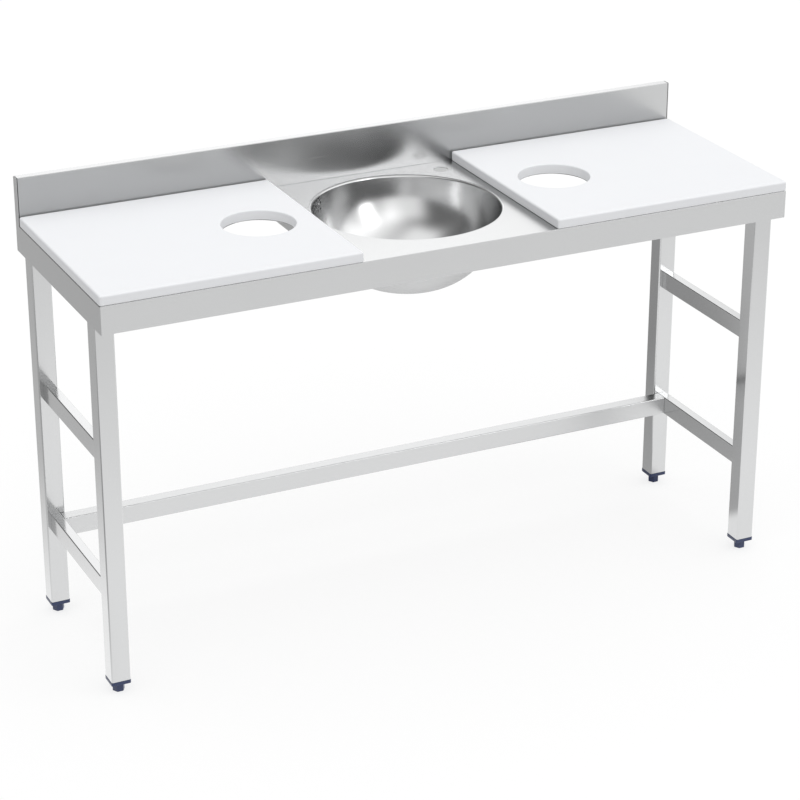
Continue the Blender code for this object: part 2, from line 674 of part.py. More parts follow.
def build_waste(materials):
    z = waste_heights()
    here = (0, BOWL_Y, 0)
    neck_inside = NECK_RADIUS - NECK_WALL
    bore = WASTE_SCREW_RADIUS + GAP

    profile = [
        (FLANGE_RADIUS, z["flange"]),
        (FLANGE_RADIUS, z["flange_top"] - FLANGE_THICKNESS / 2),
        (FLANGE_RADIUS - FLANGE_THICKNESS, z["flange_top"]),
        (neck_inside, z["flange_top"]),
        (neck_inside, z["strainer_top"]),
        (bore, z["strainer_top"]),
        (bore, z["strainer"]),
        (NECK_RADIUS, z["strainer"]),
        (NECK_RADIUS, z["flange"]),
    ]
    bm = turned(profile, WASTE_SEGMENTS)
    flange = add_object("drain_flange", bm, materials["fitting"], here, smooth=True)
    holes = bmesh.new()
    for middle in circle(STRAINER_HOLE_RING, STRAINER_HOLE_COUNT):
        outline = circle(STRAINER_HOLE_RADIUS, SCREW_SEGMENTS, middle)
        prism(outline, z["strainer"] - STRAINER_THICKNESS, z["flange_top"] + OVERCUT, bm=holes)
    boolean(flange, add_cutter("cut_strainer_holes", holes, here))

    gasket_bore = NECK_RADIUS + NECK_CLEARANCE
    for name, low, thickness in (
        ("drain_gasket_upper", z["upper_gasket"], UPPER_GASKET_THICKNESS),
        ("drain_gasket_lower", z["lower_gasket"], LOWER_GASKET_THICKNESS),
    ):
        ring = ring_profile(GASKET_RADIUS, gasket_bore, low, low + thickness)
        add_object(name, turned(ring, WASTE_SEGMENTS), materials["rubber"], here, smooth=True)

    profile = [
        (WASTE_CHAMBER_RADIUS, z["chamber_top"]),
        (WASTE_BORE_RADIUS, z["chamber_top"]),
        (WASTE_BORE_RADIUS, z["tail"]),
        (WASTE_TAIL_RADIUS, z["tail"]),
        (WASTE_TAIL_RADIUS, z["chamber"]),
        (WASTE_CHAMBER_RADIUS, z["chamber"]),
    ]
    bm = turned(profile, WASTE_SEGMENTS)
    body = add_object("drain_body", bm, materials["waste"], here, smooth=True)
    web_low = z["tail"] + WASTE_TAIL_HEIGHT / 4
    web_length = 2 * WASTE_BORE_RADIUS + (WASTE_TAIL_RADIUS - WASTE_BORE_RADIUS)
    web = prism(rectangle(web_length, WEB_WIDTH), web_low, web_low + WEB_HEIGHT)
    boolean(body, add_cutter("join_web", web, here), "UNION")
    boss = turned(disc_profile(BOSS_RADIUS, web_low - GAP, web_low + WEB_HEIGHT + GAP), SMALL_SEGMENTS)
    boolean(body, add_cutter("join_boss", boss, here), "UNION")
    around = Vector((cos(OVERFLOW_ANGLE), sin(OVERFLOW_ANGLE), 0))
    spigot_base = around * (WASTE_CHAMBER_RADIUS - SPIGOT_WALL) + Vector((0, 0, z["spigot"]))
    place = aimed(spigot_base, around)
    spigot = disc_profile(SPIGOT_RADIUS, 0, DRAIN_SPIGOT_LENGTH)
    boolean(body, add_cutter("join_drain_spigot", turned_onto(spigot, SMALL_SEGMENTS, place), here), "UNION")
    inlet = disc_profile(SPIGOT_RADIUS - SPIGOT_WALL, -OVERCUT, DRAIN_SPIGOT_LENGTH + OVERCUT)
    boolean(body, add_cutter("cut_drain_spigot", turned_onto(inlet, SMALL_SEGMENTS, place), here))
    screw_hole = disc_profile(bore, z["tail"] - OVERCUT, z["chamber_top"] - GAP)
    boolean(body, add_cutter("cut_boss", turned(screw_hole, SMALL_SEGMENTS), here))

    profile = [
        (0, web_low - GAP),
        (WASTE_SCREW_RADIUS, web_low - GAP),
        (WASTE_SCREW_RADIUS, z["screw_head"]),
        (WASTE_SCREW_HEAD_RADIUS, z["screw_head"]),
        (WASTE_SCREW_HEAD_RADIUS - GAP, z["screw_head"] + WASTE_SCREW_HEAD_HEIGHT * HEAD_CROWN),
        (WASTE_SCREW_HEAD_RADIUS * HEAD_CROWN, z["screw_head"] + WASTE_SCREW_HEAD_HEIGHT),
        (0, z["screw_head"] + WASTE_SCREW_HEAD_HEIGHT),
    ]
    add_object("drain_screw", turned(profile, SMALL_SEGMENTS), materials["fitting"], here, smooth=True)

    skirt = neck_inside - GAP
    knob_middle = z["plug_disc_top"] + PLUG_KNOB_HEIGHT - PLUG_KNOB_RADIUS
    knob_start = -acos(PLUG_STEM_RADIUS / PLUG_KNOB_RADIUS)
    profile = [
        (0, z["plug"]),
        (skirt - GAP, z["plug"]),
        (skirt, z["plug_disc"]),
        (PLUG_DISC_RADIUS, z["plug_disc"]),
        (PLUG_DISC_RADIUS, z["plug_disc"] + PLUG_DISC_THICKNESS / 2),
        (PLUG_DISC_RADIUS * PLUG_CROWN, z["plug_disc_top"]),
        (PLUG_STEM_RADIUS, z["plug_disc_top"]),
    ]
    profile += arc((0, knob_middle), PLUG_KNOB_RADIUS, knob_start, pi / 2, KNOB_STEPS)[:-1]
    profile += [(0, knob_middle + PLUG_KNOB_RADIUS)]
    add_object("drain_plug", turned(profile, WASTE_SEGMENTS), materials["rubber"], here, smooth=True)


def bowl_envelope(offset):
    """A solid that fills the bowl out to a gap from its outer side, for cutting what seats on it."""
    side = bowl_side(BOWL_SHEET + offset, BOWL_STEPS)
    rim = [(0, WORKTOP_HEIGHT + OVERCUT), (side[0][0], WORKTOP_HEIGHT + OVERCUT)]
    return turned(rim + side + [(0, side[-1][1])], BOWL_SEGMENTS)


def build_overflow(materials):
    wall_point, outward = overflow_place(BOWL_SHEET)
    place = aimed(wall_point, outward)
    envelope = add_cutter("cut_bowl_envelope", bowl_envelope(GAP), (0, BOWL_Y, 0))

    seat = 2 * OVERFLOW_GASKET_THICKNESS - SHEET
    ring = ring_profile(ELBOW_RADIUS, ELBOW_BORE, -OVERCUT, seat)
    bm = turned_onto(ring, WASTE_SEGMENTS, place)
    gasket = add_object("overflow_gasket", bm, materials["rubber"], smooth=True)
    boolean(gasket, envelope)

    cup = seat + GAP
    profile = [
        (ELBOW_RADIUS, cup),
        (ELBOW_RADIUS, cup + ELBOW_DEPTH - ELBOW_WALL),
        (ELBOW_RADIUS - ELBOW_WALL, cup + ELBOW_DEPTH),
        (0, cup + ELBOW_DEPTH),
        (0, cup + ELBOW_DEPTH - ELBOW_WALL),
        (ELBOW_BORE, cup + ELBOW_DEPTH - ELBOW_WALL),
        (ELBOW_BORE, cup),
    ]
    bm = turned_onto(profile, WASTE_SEGMENTS, place)
    elbow = add_object("overflow_elbow", bm, materials["waste"], smooth=True)
    middle = wall_point + outward * (cup + ELBOW_DEPTH / 2)
    spigot_place = aimed(middle, (0, 0, -1))
    outside = disc_profile(SPIGOT_RADIUS, ELBOW_RADIUS - ELBOW_WALL * 2, ELBOW_SPIGOT_LENGTH)
    boolean(
        elbow, add_cutter("join_elbow_spigot", turned_onto(outside, SMALL_SEGMENTS, spigot_place)), "UNION"
    )
    inside = disc_profile(
        SPIGOT_RADIUS - SPIGOT_WALL, ELBOW_RADIUS - ELBOW_WALL * 3, ELBOW_SPIGOT_LENGTH + OVERCUT
    )
    boolean(elbow, add_cutter("cut_elbow_spigot", turned_onto(inside, SMALL_SEGMENTS, spigot_place)))
    post = disc_profile(ELBOW_BOSS_RADIUS, cup + ELBOW_WALL, cup + ELBOW_DEPTH - ELBOW_WALL / 2)
    boolean(elbow, add_cutter("join_elbow_boss", turned_onto(post, SMALL_SEGMENTS, place)), "UNION")
    tapped = disc_profile(OVERFLOW_SCREW_RADIUS + GAP, -OVERCUT, OVERFLOW_SCREW_LENGTH + GAP)
    boolean(elbow, add_cutter("cut_elbow_boss", turned_onto(tapped, SCREW_SEGMENTS, place)))

    head_seat = -BOWL_SHEET - GAP
    profile = [
        (0, head_seat - OVERFLOW_SCREW_HEAD_HEIGHT),
        (OVERFLOW_SCREW_HEAD_RADIUS * HEAD_CROWN, head_seat - OVERFLOW_SCREW_HEAD_HEIGHT),
        (OVERFLOW_SCREW_HEAD_RADIUS, head_seat - OVERFLOW_SCREW_HEAD_HEIGHT * HEAD_CROWN),
        (OVERFLOW_SCREW_HEAD_RADIUS, head_seat),
        (OVERFLOW_SCREW_RADIUS, head_seat),
        (OVERFLOW_SCREW_RADIUS, OVERFLOW_SCREW_LENGTH),
        (0, OVERFLOW_SCREW_LENGTH),
    ]
    bm = turned_onto(profile, SMALL_SEGMENTS, place)
    add_object("overflow_screw", bm, materials["fitting"], smooth=True)

    spigot_end = middle - Vector((0, 0, ELBOW_SPIGOT_LENGTH))
    build_hose(materials, spigot_end)


def build_hose(materials, spigot_end):
    """The overflow hose, from the elbow's spigot round under the bowl to the waste's spigot."""
    inner = SPIGOT_RADIUS + GAP
    outer = inner + HOSE_WALL
    around = Vector((cos(OVERFLOW_ANGLE), sin(OVERFLOW_ANGLE), 0))
    axis = Vector((0, BOWL_Y, 0))
    drain_height = waste_heights()["spigot"]
    drain_reach = WASTE_CHAMBER_RADIUS - SPIGOT_WALL + DRAIN_SPIGOT_LENGTH

    def at(radius, height):
        return axis + around * radius + Vector((0, 0, height))

    top_radius = (spigot_end - axis).dot(around)
    start = at(top_radius, spigot_end.z + HOSE_LAP)
    end = at(drain_reach - HOSE_LAP, drain_height)
    bend_top = at(top_radius, spigot_end.z - HOSE_STRAIGHT)
    bend_foot = at(drain_reach + HOSE_STRAIGHT, drain_height)
    corner = at(top_radius, drain_height)
    knots = [start, at(top_radius, spigot_end.z), bend_top]
    for i in range(1, HOSE_KNOTS):
        share = i / HOSE_KNOTS
        knots.append(curve_point(bend_top, corner, bend_foot, share))
    knots += [bend_foot, at(drain_reach, drain_height), end]
    bm = swept_tube(smooth_points(knots, HOSE_STEPS), outer, inner, SMALL_SEGMENTS)
    add_object("overflow_hose", bm, materials["rubber"], smooth=True)

    clip_inner = outer + GAP
    ring = ring_profile(clip_inner + CLIP_THICKNESS, clip_inner, -CLIP_WIDTH / 2, CLIP_WIDTH / 2)
    for name, middle, along in (
        ("hose_clip_upper", start.lerp(knots[1], 0.5), (0, 0, 1)),
        ("hose_clip_lower", end.lerp(knots[-2], 0.5), around),
    ):
        place = aimed(middle, along)
        clip = add_object(name, turned_onto(ring, SMALL_SEGMENTS, place), materials["fitting"], smooth=True)
        width, length, height = CLIP_HOUSING
        outline = rectangle(
            length, height, middle=(0, clip_inner + CLIP_THICKNESS / 2 + height / 2)
        )
        housing = prism(outline, -width / 2, width / 2)
        housing.transform(place @ Matrix.Rotation(pi / 2, 4, "Z"))
        boolean(clip, add_cutter(f"join_{name}_housing", housing), "UNION")


# Cutting boards


def build_boards(materials):
    width = X_END - BOARD_INNER_X
    depth = SPLASH_FRONT - GAP - Y_FRONT
    under = WORKTOP_HEIGHT + GAP
    for name, side in SIDES.items():
        bm = prism(rectangle(width, depth), 0, BOARD_THICKNESS)
        rounded = [
            edge for edge in bm.edges if max(vert.co.z for vert in edge.verts) > BOARD_THICKNESS / 2
        ]
        bmesh.ops.bevel(
            bm, geom=rounded, offset=BOARD_EDGE_RADIUS, segments=3, profile=0.5, affect="EDGES"
        )
        middle_x = side * (BOARD_INNER_X + width / 2)
        location = (middle_x, BOARD_MIDDLE_Y, under)
        board = add_object(f"cutting_board_{name}", bm, materials["board"], location, smooth=True)
        edge = BOARD_HOLE_EDGE
        profile = [
            (0, -OVERCUT),
            (BOARD_HOLE_RADIUS, -OVERCUT),
            (BOARD_HOLE_RADIUS, BOARD_THICKNESS - edge),
            (BOARD_HOLE_RADIUS + edge, BOARD_THICKNESS),
            (BOARD_HOLE_RADIUS + edge + OVERCUT, BOARD_THICKNESS + OVERCUT),
            (0, BOARD_THICKNESS + OVERCUT),
        ]
        hole_place = (side * WASTE_HOLE_X, BOARD_MIDDLE_Y, under)
        cutter = add_cutter(f"cut_board_{name}", turned(profile, HOLE_SEGMENTS), hole_place)
        boolean(board, cutter)


# Frame


def build_frame(materials):
    inner_width = LEG_WIDTH - 2 * TUBE_WALL
    outer = rectangle(LEG_WIDTH, LEG_WIDTH, LEG_CORNER_RADIUS)
    inner = rectangle(inner_width, inner_width, LEG_CORNER_RADIUS - TUBE_WALL)
    rail_outer = rectangle(RAIL_WIDTH, RAIL_HEIGHT, RAIL_CORNER_RADIUS)
    rail_inner = rectangle(
        RAIL_WIDTH - 2 * TUBE_WALL, RAIL_HEIGHT - 2 * TUBE_WALL, RAIL_CORNER_RADIUS - TUBE_WALL
    )
    rail_low = LEG_FRONT_Y + LEG_WIDTH / 2 + GAP
    rail_high = LEG_REAR_Y - LEG_WIDTH / 2 - GAP
    for side_name, side in SIDES.items():
        x = side * LEG_X
        for end_name, y in ENDS.items():
            bm = hollow_prism(outer, inner, 0, LEG_TOP - LEG_BOTTOM)
            location = (x, y, LEG_BOTTOM)
            add_object(f"leg_{end_name}_{side_name}", bm, materials["tube"], location)
        for level, top in (("mid", MID_RAIL_TOP), ("low", LOW_RAIL_TOP)):
            bm = hollow_prism(rail_outer, rail_inner, rail_low, rail_high, "Y")
            location = (x, 0, top - RAIL_HEIGHT / 2)
            add_object(f"side_rail_{level}_{side_name}", bm, materials["tube"], location)

    reach = LEG_X - RAIL_WIDTH / 2 - GAP
    stretcher_outer = rectangle(STRETCHER_WIDTH, RAIL_HEIGHT, RAIL_CORNER_RADIUS)
    stretcher_inner = rectangle(
        STRETCHER_WIDTH - 2 * TUBE_WALL, RAIL_HEIGHT - 2 * TUBE_WALL, RAIL_CORNER_RADIUS - TUBE_WALL
    )
    bm = hollow_prism(stretcher_outer, stretcher_inner, -reach, reach, "X")
    location = (0, rail_high - STRETCHER_WIDTH / 2, LOW_RAIL_TOP - RAIL_HEIGHT / 2)
    add_object("stretcher", bm, materials["tube"], location)


def build_under_deck(materials):
    front = INSIDE_FRONT + FOLD_RADIUS
    rear = INSIDE_REAR - FOLD_RADIUS
    channel_path = [
        (-CHANNEL_WIDTH / 2, -CHANNEL_HEIGHT),
        (-CHANNEL_WIDTH / 2, 0),
        (CHANNEL_WIDTH / 2, 0),
        (CHANNEL_WIDTH / 2, -CHANNEL_HEIGHT),
    ]
    channel = folded_outline(channel_path, CHANNEL_SHEET, FOLD_RADIUS)
    outer = rectangle(END_RAIL_WIDTH, END_RAIL_HEIGHT, LEG_CORNER_RADIUS)
    inner = rectangle(
        END_RAIL_WIDTH - 2 * END_RAIL_WALL,
        END_RAIL_HEIGHT - 2 * END_RAIL_WALL,
        LEG_CORNER_RADIUS - END_RAIL_WALL,
    )
    for side_name, side in SIDES.items():
        for place, x in (("inner", INNER_CHANNEL_X), ("outer", OUTER_CHANNEL_X)):
            bm = prism(channel, front, rear, "Y")
            location = (side * x, 0, DECK_UNDER - GAP)
            add_object(f"deck_channel_{place}_{side_name}", bm, materials["fitting"], location)

        bm = hollow_prism(outer, inner, front, rear, "Y")
        rail_x = side * (INSIDE_X - END_RAIL_WIDTH / 2)
        location = (rail_x, 0, END_RAIL_TOP - END_RAIL_HEIGHT / 2)
        rail = add_object(f"end_rail_{side_name}", bm, materials["fitting"], location)
        holes = bmesh.new()
        for _, y in screw_places():
            outline = circle(SCREW_RADIUS + GAP, SCREW_SEGMENTS, (rail_x, y))
            prism(outline, END_RAIL_UNDER - OVERCUT, END_RAIL_UNDER + END_RAIL_HEIGHT / 2, bm=holes)
        boolean(rail, add_cutter(f"cut_end_rail_{side_name}", holes))


def screw_places():
    """Each leg screw's name and its place along the table's depth."""
    reach = PLATE_LENGTH / 2 - SCREW_INSET
    return [
        (f"{end}_{letter}", y + way * reach)
        for end, y in ENDS.items()
        for letter, way in (("a", -1), ("b", 1))
    ]


def build_leg_fixings(materials):
    head = hexagon(SCREW_HEAD_FLATS)
    head_top = PLATE_TOP - PLATE_THICKNESS - GAP
    for side_name, side in SIDES.items():
        x = side * LEG_X
        for end_name, y in ENDS.items():
            outline = rectangle(LEG_WIDTH, PLATE_LENGTH, LEG_CORNER_RADIUS)
            bm = prism(outline, PLATE_TOP - PLATE_THICKNESS, PLATE_TOP)
            plate = add_object(f"leg_plate_{end_name}_{side_name}", bm, materials["fitting"], (x, y, 0))
            holes = bmesh.new()
            for way in (-1, 1):
                middle = (0, way * (PLATE_LENGTH / 2 - SCREW_INSET))
                outline = circle(SCREW_RADIUS + GAP, SCREW_SEGMENTS, middle)
                prism(outline, PLATE_TOP - PLATE_THICKNESS - OVERCUT, PLATE_TOP + OVERCUT, bm=holes)
            boolean(plate, add_cutter(f"cut_leg_plate_{end_name}_{side_name}", holes, (x, y, 0)))
        for name, y in screw_places():
            end_name, letter = name.split("_")
            bm = prism(head, -SCREW_HEAD_HEIGHT, 0)
            location = (x, y, head_top)
            screw = add_object(
                f"leg_screw_{end_name}_{side_name}_{letter}", bm, materials["fitting"], location
            )
            shank = turned(disc_profile(SCREW_RADIUS, -SCREW_HEAD_HEIGHT / 2, SCREW_LENGTH), SCREW_SEGMENTS)
            boolean(screw, add_cutter(f"join_{screw.name}_shank", shank, location), "UNION")


# Feet


def build_feet(materials):
    flange_width = LEG_WIDTH + 2 * CAP_OVERHANG
    plug_width = LEG_WIDTH - 2 * TUBE_WALL - 2 * GAP
    bore = STUD_RADIUS + GAP
    flange_bottom = PAD_HEIGHT
    flange_top = PAD_HEIGHT + CAP_FLANGE_HEIGHT
    for side_name, side in SIDES.items():
        for end_name, y in ENDS.items():
            name = f"{end_name}_{side_name}"
            here = (side * LEG_X, y, 0)
            outline = rectangle(flange_width, flange_width, LEG_CORNER_RADIUS)
            bm = prism(outline, flange_bottom, flange_top)
            cap = add_object(f"leg_cap_{name}", bm, materials["foot"], here)
            outline = rectangle(plug_width, plug_width, CAP_PLUG_CORNER)
            plug = prism(outline, flange_top - CAP_FLANGE_HEIGHT / 2, flange_top + CAP_PLUG_HEIGHT)
            boolean(cap, add_cutter(f"join_plug_{name}", plug, here), "UNION")
            reach = disc_profile(bore, flange_bottom - OVERCUT, flange_top + CAP_PLUG_HEIGHT + OVERCUT)
            boolean(cap, add_cutter(f"cut_cap_{name}", turned(reach, SMALL_SEGMENTS), here))

            pad_top = PAD_HEIGHT - GAP
            outline = hexagon(PAD_FLATS)
            bm = prism(outline, 0, pad_top)
            ends = [edge for edge in bm.edges if abs(edge.verts[0].co.z - edge.verts[1].co.z) < GAP]
            bmesh.ops.bevel(bm, geom=ends, offset=PAD_CHAMFER, segments=1, affect="EDGES")
            pad = add_object(f"foot_pad_{name}", bm, materials["foot"], here)
            socket = disc_profile(bore, PAD_SOCKET_FLOOR, pad_top + OVERCUT)
            boolean(pad, add_cutter(f"cut_pad_{name}", turned(socket, SMALL_SEGMENTS), here))

            low = PAD_SOCKET_FLOOR + GAP
            shank = disc_profile(STUD_RADIUS, low, low + STUD_LENGTH, STUD_CHAMFER)
            bm = turned(shank, SMALL_SEGMENTS)
            add_object(f"foot_stud_{name}", bm, materials["fitting"], here, smooth=True)


def main():
    clear_scene()
    materials = make_materials()
    build_worktop(materials)
    build_backsplash(materials)
    build_bowl(materials)
    build_waste(materials)
    build_overflow(materials)
    build_boards(materials)
    build_under_deck(materials)
    build_frame(materials)
    build_leg_fixings(materials)
    build_feet(materials)


main()
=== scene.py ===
"""The sink table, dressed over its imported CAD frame: fine sheet-metal, moulded and turned pieces,
procedural materials, and a pale studio.
"""

import json
from math import acos, atan2, cos, hypot, pi, radians, sin, sqrt

import bmesh
import bpy
from mathutils import Matrix, Vector


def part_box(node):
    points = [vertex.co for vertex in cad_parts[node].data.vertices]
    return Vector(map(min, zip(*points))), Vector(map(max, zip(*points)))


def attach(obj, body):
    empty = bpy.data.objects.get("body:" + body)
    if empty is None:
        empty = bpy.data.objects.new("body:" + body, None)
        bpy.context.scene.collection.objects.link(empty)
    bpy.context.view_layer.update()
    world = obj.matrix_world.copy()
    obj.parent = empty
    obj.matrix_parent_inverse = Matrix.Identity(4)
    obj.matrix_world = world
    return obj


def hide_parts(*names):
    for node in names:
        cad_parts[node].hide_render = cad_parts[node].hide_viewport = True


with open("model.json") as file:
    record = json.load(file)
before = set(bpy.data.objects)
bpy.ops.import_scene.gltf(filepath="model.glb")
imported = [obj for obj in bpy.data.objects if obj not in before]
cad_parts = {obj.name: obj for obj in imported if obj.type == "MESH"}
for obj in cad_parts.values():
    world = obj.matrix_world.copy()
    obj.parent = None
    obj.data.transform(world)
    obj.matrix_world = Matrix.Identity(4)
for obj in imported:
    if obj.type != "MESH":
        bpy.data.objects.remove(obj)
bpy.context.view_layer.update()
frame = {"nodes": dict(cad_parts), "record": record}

# Sizes are in metres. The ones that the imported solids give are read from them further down.
GAP = 0.0003
OVERCUT = 0.010
TINY = 1e-9
NEAR = 1e-6

# Worktop and backsplash. The groove is between the backsplash's shell and its end panels.
SHEET = 0.0012
FOLD_RADIUS = 0.0013
LIP_WIDTH = 0.014
SPLASH_THICKNESS = 0.020
SPLASH_GROOVE = 0.0015
END_PANEL_EDGE = 0.0005
WASTE_HOLE_RADIUS = 0.0755
WASTE_HOLE_INSET = 0.120
TAP_HOLE = (0.165, 0.180)
TAP_HOLE_RADIUS = 0.016

# Bowl
BOWL_SHEET = 0.001
BOWL_SHOULDER_RADIUS = 0.004
BOWL_RIM_STEP = 0.0012
BOWL_DRAFT = 0.0065

# Boards. The gap is between a board and the backsplash, on top of the CAD's own gap.
BOARD_EDGE_RADIUS = 0.004
BOARD_FOOT_RADIUS = 0.0015
BOARD_CORNER = 0.0045
BOARD_REAR_GAP = 0.0030
BOARD_HOLE_RADIUS = 0.075
BOARD_HOLE_EDGE = 0.0025
BOARD_HOLE_FOOT = 0.0005

# Legs and rails
TUBE_WALL = 0.0012
LEG_CORNER_RADIUS = 0.003
RAIL_CORNER_RADIUS = 0.002

# Waste: the flange with its neck and strainer, and the screw through it
TURNED_EDGE = 0.0012
FLANGE_RADIUS = 0.038
FLANGE_LAP = 0.002
FLANGE_THICKNESS = 0.0015
FLANGE_RIM = 0.0004
FLANGE_EDGE = 0.0011
NECK_RADIUS = 0.0235
NECK_WALL = 0.002
NECK_INSIDE = NECK_RADIUS - NECK_WALL
NECK_CLEARANCE = 0.001
STRAINER_THICKNESS = 0.0015
STRAINER_CORNER = 0.0008
STRAINER_CUT = 0.003
STRAINER_HOLE_RADIUS = 0.003
STRAINER_HOLE_RING = 0.0145
STRAINER_HOLE_COUNT = 8
DRAIN_SCREW_RADIUS = 0.003
DRAIN_SCREW_HEAD_HEIGHT = 0.0022
CROSS_SIZE = (0.0064, 0.0011)
CROSS_CORNER = 0.0003
CROSS_DEPTH = 0.0012
CROSS_CUT = 0.001

# Plug
PLUG_CHAMFER = 0.0008
PLUG_DISC_THICKNESS = 0.003
PLUG_PANEL_RIM = 0.019
PLUG_PANEL_OUTSIDE = 0.018
PLUG_PANEL_INSIDE = 0.008
PLUG_PANEL_DEPTH = 0.0005
PLUG_FILLET = 0.0015
PLUG_STEM_RADIUS = 0.003
PLUG_KNOB_RADIUS = 0.0055

# Overflow: a ring of holes round one in the middle, and the hose from its elbow to the drain
OVERFLOW_ANGLE = radians(136)
OVERFLOW_DROP = 0.0187
OVERFLOW_HOLE_RADIUS = 0.0025
OVERFLOW_RING_RADIUS = 0.0125
OVERFLOW_HOLE_COUNT = 6
OVERFLOW_CUT = 0.004
OVERFLOW_GASKET = 0.0025
ELBOW_DEPTH = 0.019
ELBOW_SPIGOT_LENGTH = 0.034
SPIGOT_RADIUS = 0.0045
SPIGOT_WALL = 0.0012
CHAMBER_RADIUS = 0.031
TAIL_HEIGHT = 0.004
DRAIN_SPIGOT_LENGTH = 0.026
HOSE_WALL = 0.0018
HOSE_LAP = 0.013
HOSE_STRAIGHT = 0.006
HOSE_PULL = 0.6
HOSE_KNOTS = 6
HOSE_STEPS = 40
HOSE_RIB = 0.0006
HOSE_RIB_PITCH = 0.004
HOSE_CUFF = 0.001
HOSE_CUFF_FADE = 0.002

# Feet. The pad's rounds are pairs of inset and height from its end.
STUD_RADIUS = 0.005
THREAD_PITCH = 0.0015
THREAD_DEPTH = 0.0009
THREAD_ROWS = 6
CAP_TOP_ROUND = 0.0006
CAP_FOOT_ROUND = 0.0010
CAP_OVERHANG = 0.0005
CAP_PLUG_CORNER = 0.0026
CAP_PLUG_SINK = 0.003
CAP_GROOVES = 3
CAP_GROOVE_START = 0.005
CAP_GROOVE_PITCH = 0.006
CAP_GROOVE_HEIGHT = 0.003
CAP_GROOVE_SIZE = (0.050, 0.002)
CAP_GROOVE_CORNER = 0.0004
PAD_CORNER = 0.0012
PAD_FOOT_ROUND = ((0.0012, 0.0), (0.0005, 0.0004), (0.0, 0.0012))
PAD_TOP_ROUND = ((0.0, 0.0012), (0.0004, 0.0004), (0.0011, 0.0))

# Small rounds on the CAD nodes that stay, and the weld before them
EDGE_ROUND = 0.0008
EDGE_ROUND_SHARE = 0.12
WELD_REACH = 0.00001

# Facets, and how much large faces count in smooth shading
FOLD_STEPS = 1
CORNER_STEPS = 8
BOWL_SEGMENTS = 192
BOWL_SHOULDER_STEPS = 10
BOWL_WALL_STEPS = 6
BOWL_CORNER_STEPS = 40
HOLE_SEGMENTS = 96
BORE_SEGMENTS = 48
SMALL_SEGMENTS = 32
THREAD_SEGMENTS = 24
SLAB_FOOT_STEPS = 4
SLAB_TOP_STEPS = 8
SLAB_LEAST_CORNER = 0.0004
LARGE_FACE_WEIGHT = 80

SIDES = {"left": -1, "right": 1}
ENDS = ("front", "rear")


# Camera


# Place in metres, direction of view, lens and sensor in millimetres
CAMERA_PLACE = (-2.16650693, -4.50582273, 2.63477998)
CAMERA_AHEAD = (0.3936352, 0.8251797, -0.4051294)
CAMERA_LENS = 116.992
CAMERA_SENSOR = 36


def make_camera():
    """The photograph's viewpoint, solved from the table's own edges."""
    data = bpy.data.cameras.new("camera")
    data.lens = CAMERA_LENS
    data.sensor_width = CAMERA_SENSOR
    camera = bpy.data.objects.new("camera", data)
    camera.location = CAMERA_PLACE
    camera.rotation_euler = Vector(CAMERA_AHEAD).to_track_quat("-Z", "Y").to_euler()
    bpy.context.scene.collection.objects.link(camera)
    bpy.context.scene.camera = camera


# Node trees


class Tree:
    """Adds and joins nodes of one material or world."""

    def __init__(self, owner):
        owner.use_nodes = True
        self.nodes = owner.node_tree.nodes
        self.links = owner.node_tree.links

    def add(self, kind, inputs=(), **settings):
        """A new node; an input is a constant, or the socket that feeds it."""
        node = self.nodes.new(kind)
        for name, value in settings.items():
            setattr(node, name, value)
        for name, value in dict(inputs).items():
            socket = node.inputs[name]
            if isinstance(value, bpy.types.NodeSocket):
                self.links.new(value, socket)
            else:
                socket.default_value = value
        return node

    def maths(self, operation, one, two=0.0):
        return self.add("ShaderNodeMath", {0: one, 1: two}, operation=operation).outputs[0]

    def ranged(self, value, low, high, to_low, to_high, interpolation="LINEAR"):
        """value, taken from low..high to to_low..to_high and held there."""
        node = self.add(
            "ShaderNodeMapRange",
            {"Value": value, "From Min": low, "From Max": high, "To Min": to_low, "To Max": to_high},
            interpolation_type=interpolation,
        )
        return node.outputs["Result"]

    def dot(self, vector, axis):
        node = self.add("ShaderNodeVectorMath", {0: vector, 1: tuple(axis)}, operation="DOT_PRODUCT")
        return node.outputs["Value"]

    def noise(self, vector, scale, detail, roughness, stretch=(1, 1, 1)):
        mapping = self.add("ShaderNodeMapping", {"Vector": vector, "Scale": stretch})
        node = self.add(
            "ShaderNodeTexNoise",
            {"Vector": mapping.outputs[0], "Scale": scale, "Detail": detail, "Roughness": roughness},
        )
        return node.outputs["Fac"]

    def blend_colour(self, share, one, two):
        node = self.add("ShaderNodeMix", {0: share, 6: (*one, 1), 7: (*two, 1)}, data_type="RGBA")
        return node.outputs[2]

    def blend_value(self, share, one, two):
        return self.add("ShaderNodeMix", {0: share, 2: one, 3: two}).outputs[0]


# Materials


STEEL = (0.44, 0.443, 0.445)
BOWL_STEEL = (0.54, 0.543, 0.545)
# Where most of a noise's values lie, and how much finer brushing is across its grain
NOISE_REACH = (0.3, 0.7)
BRUSH_STRETCH = 90


def new_surface(name):
    """A new material, with its node tree, its shader and its object coordinates."""
    material = bpy.data.materials.new(name)
    tree = Tree(material)
    place = tree.add("ShaderNodeTexCoord").outputs["Object"]
    return material, tree, tree.nodes["Principled BSDF"], place


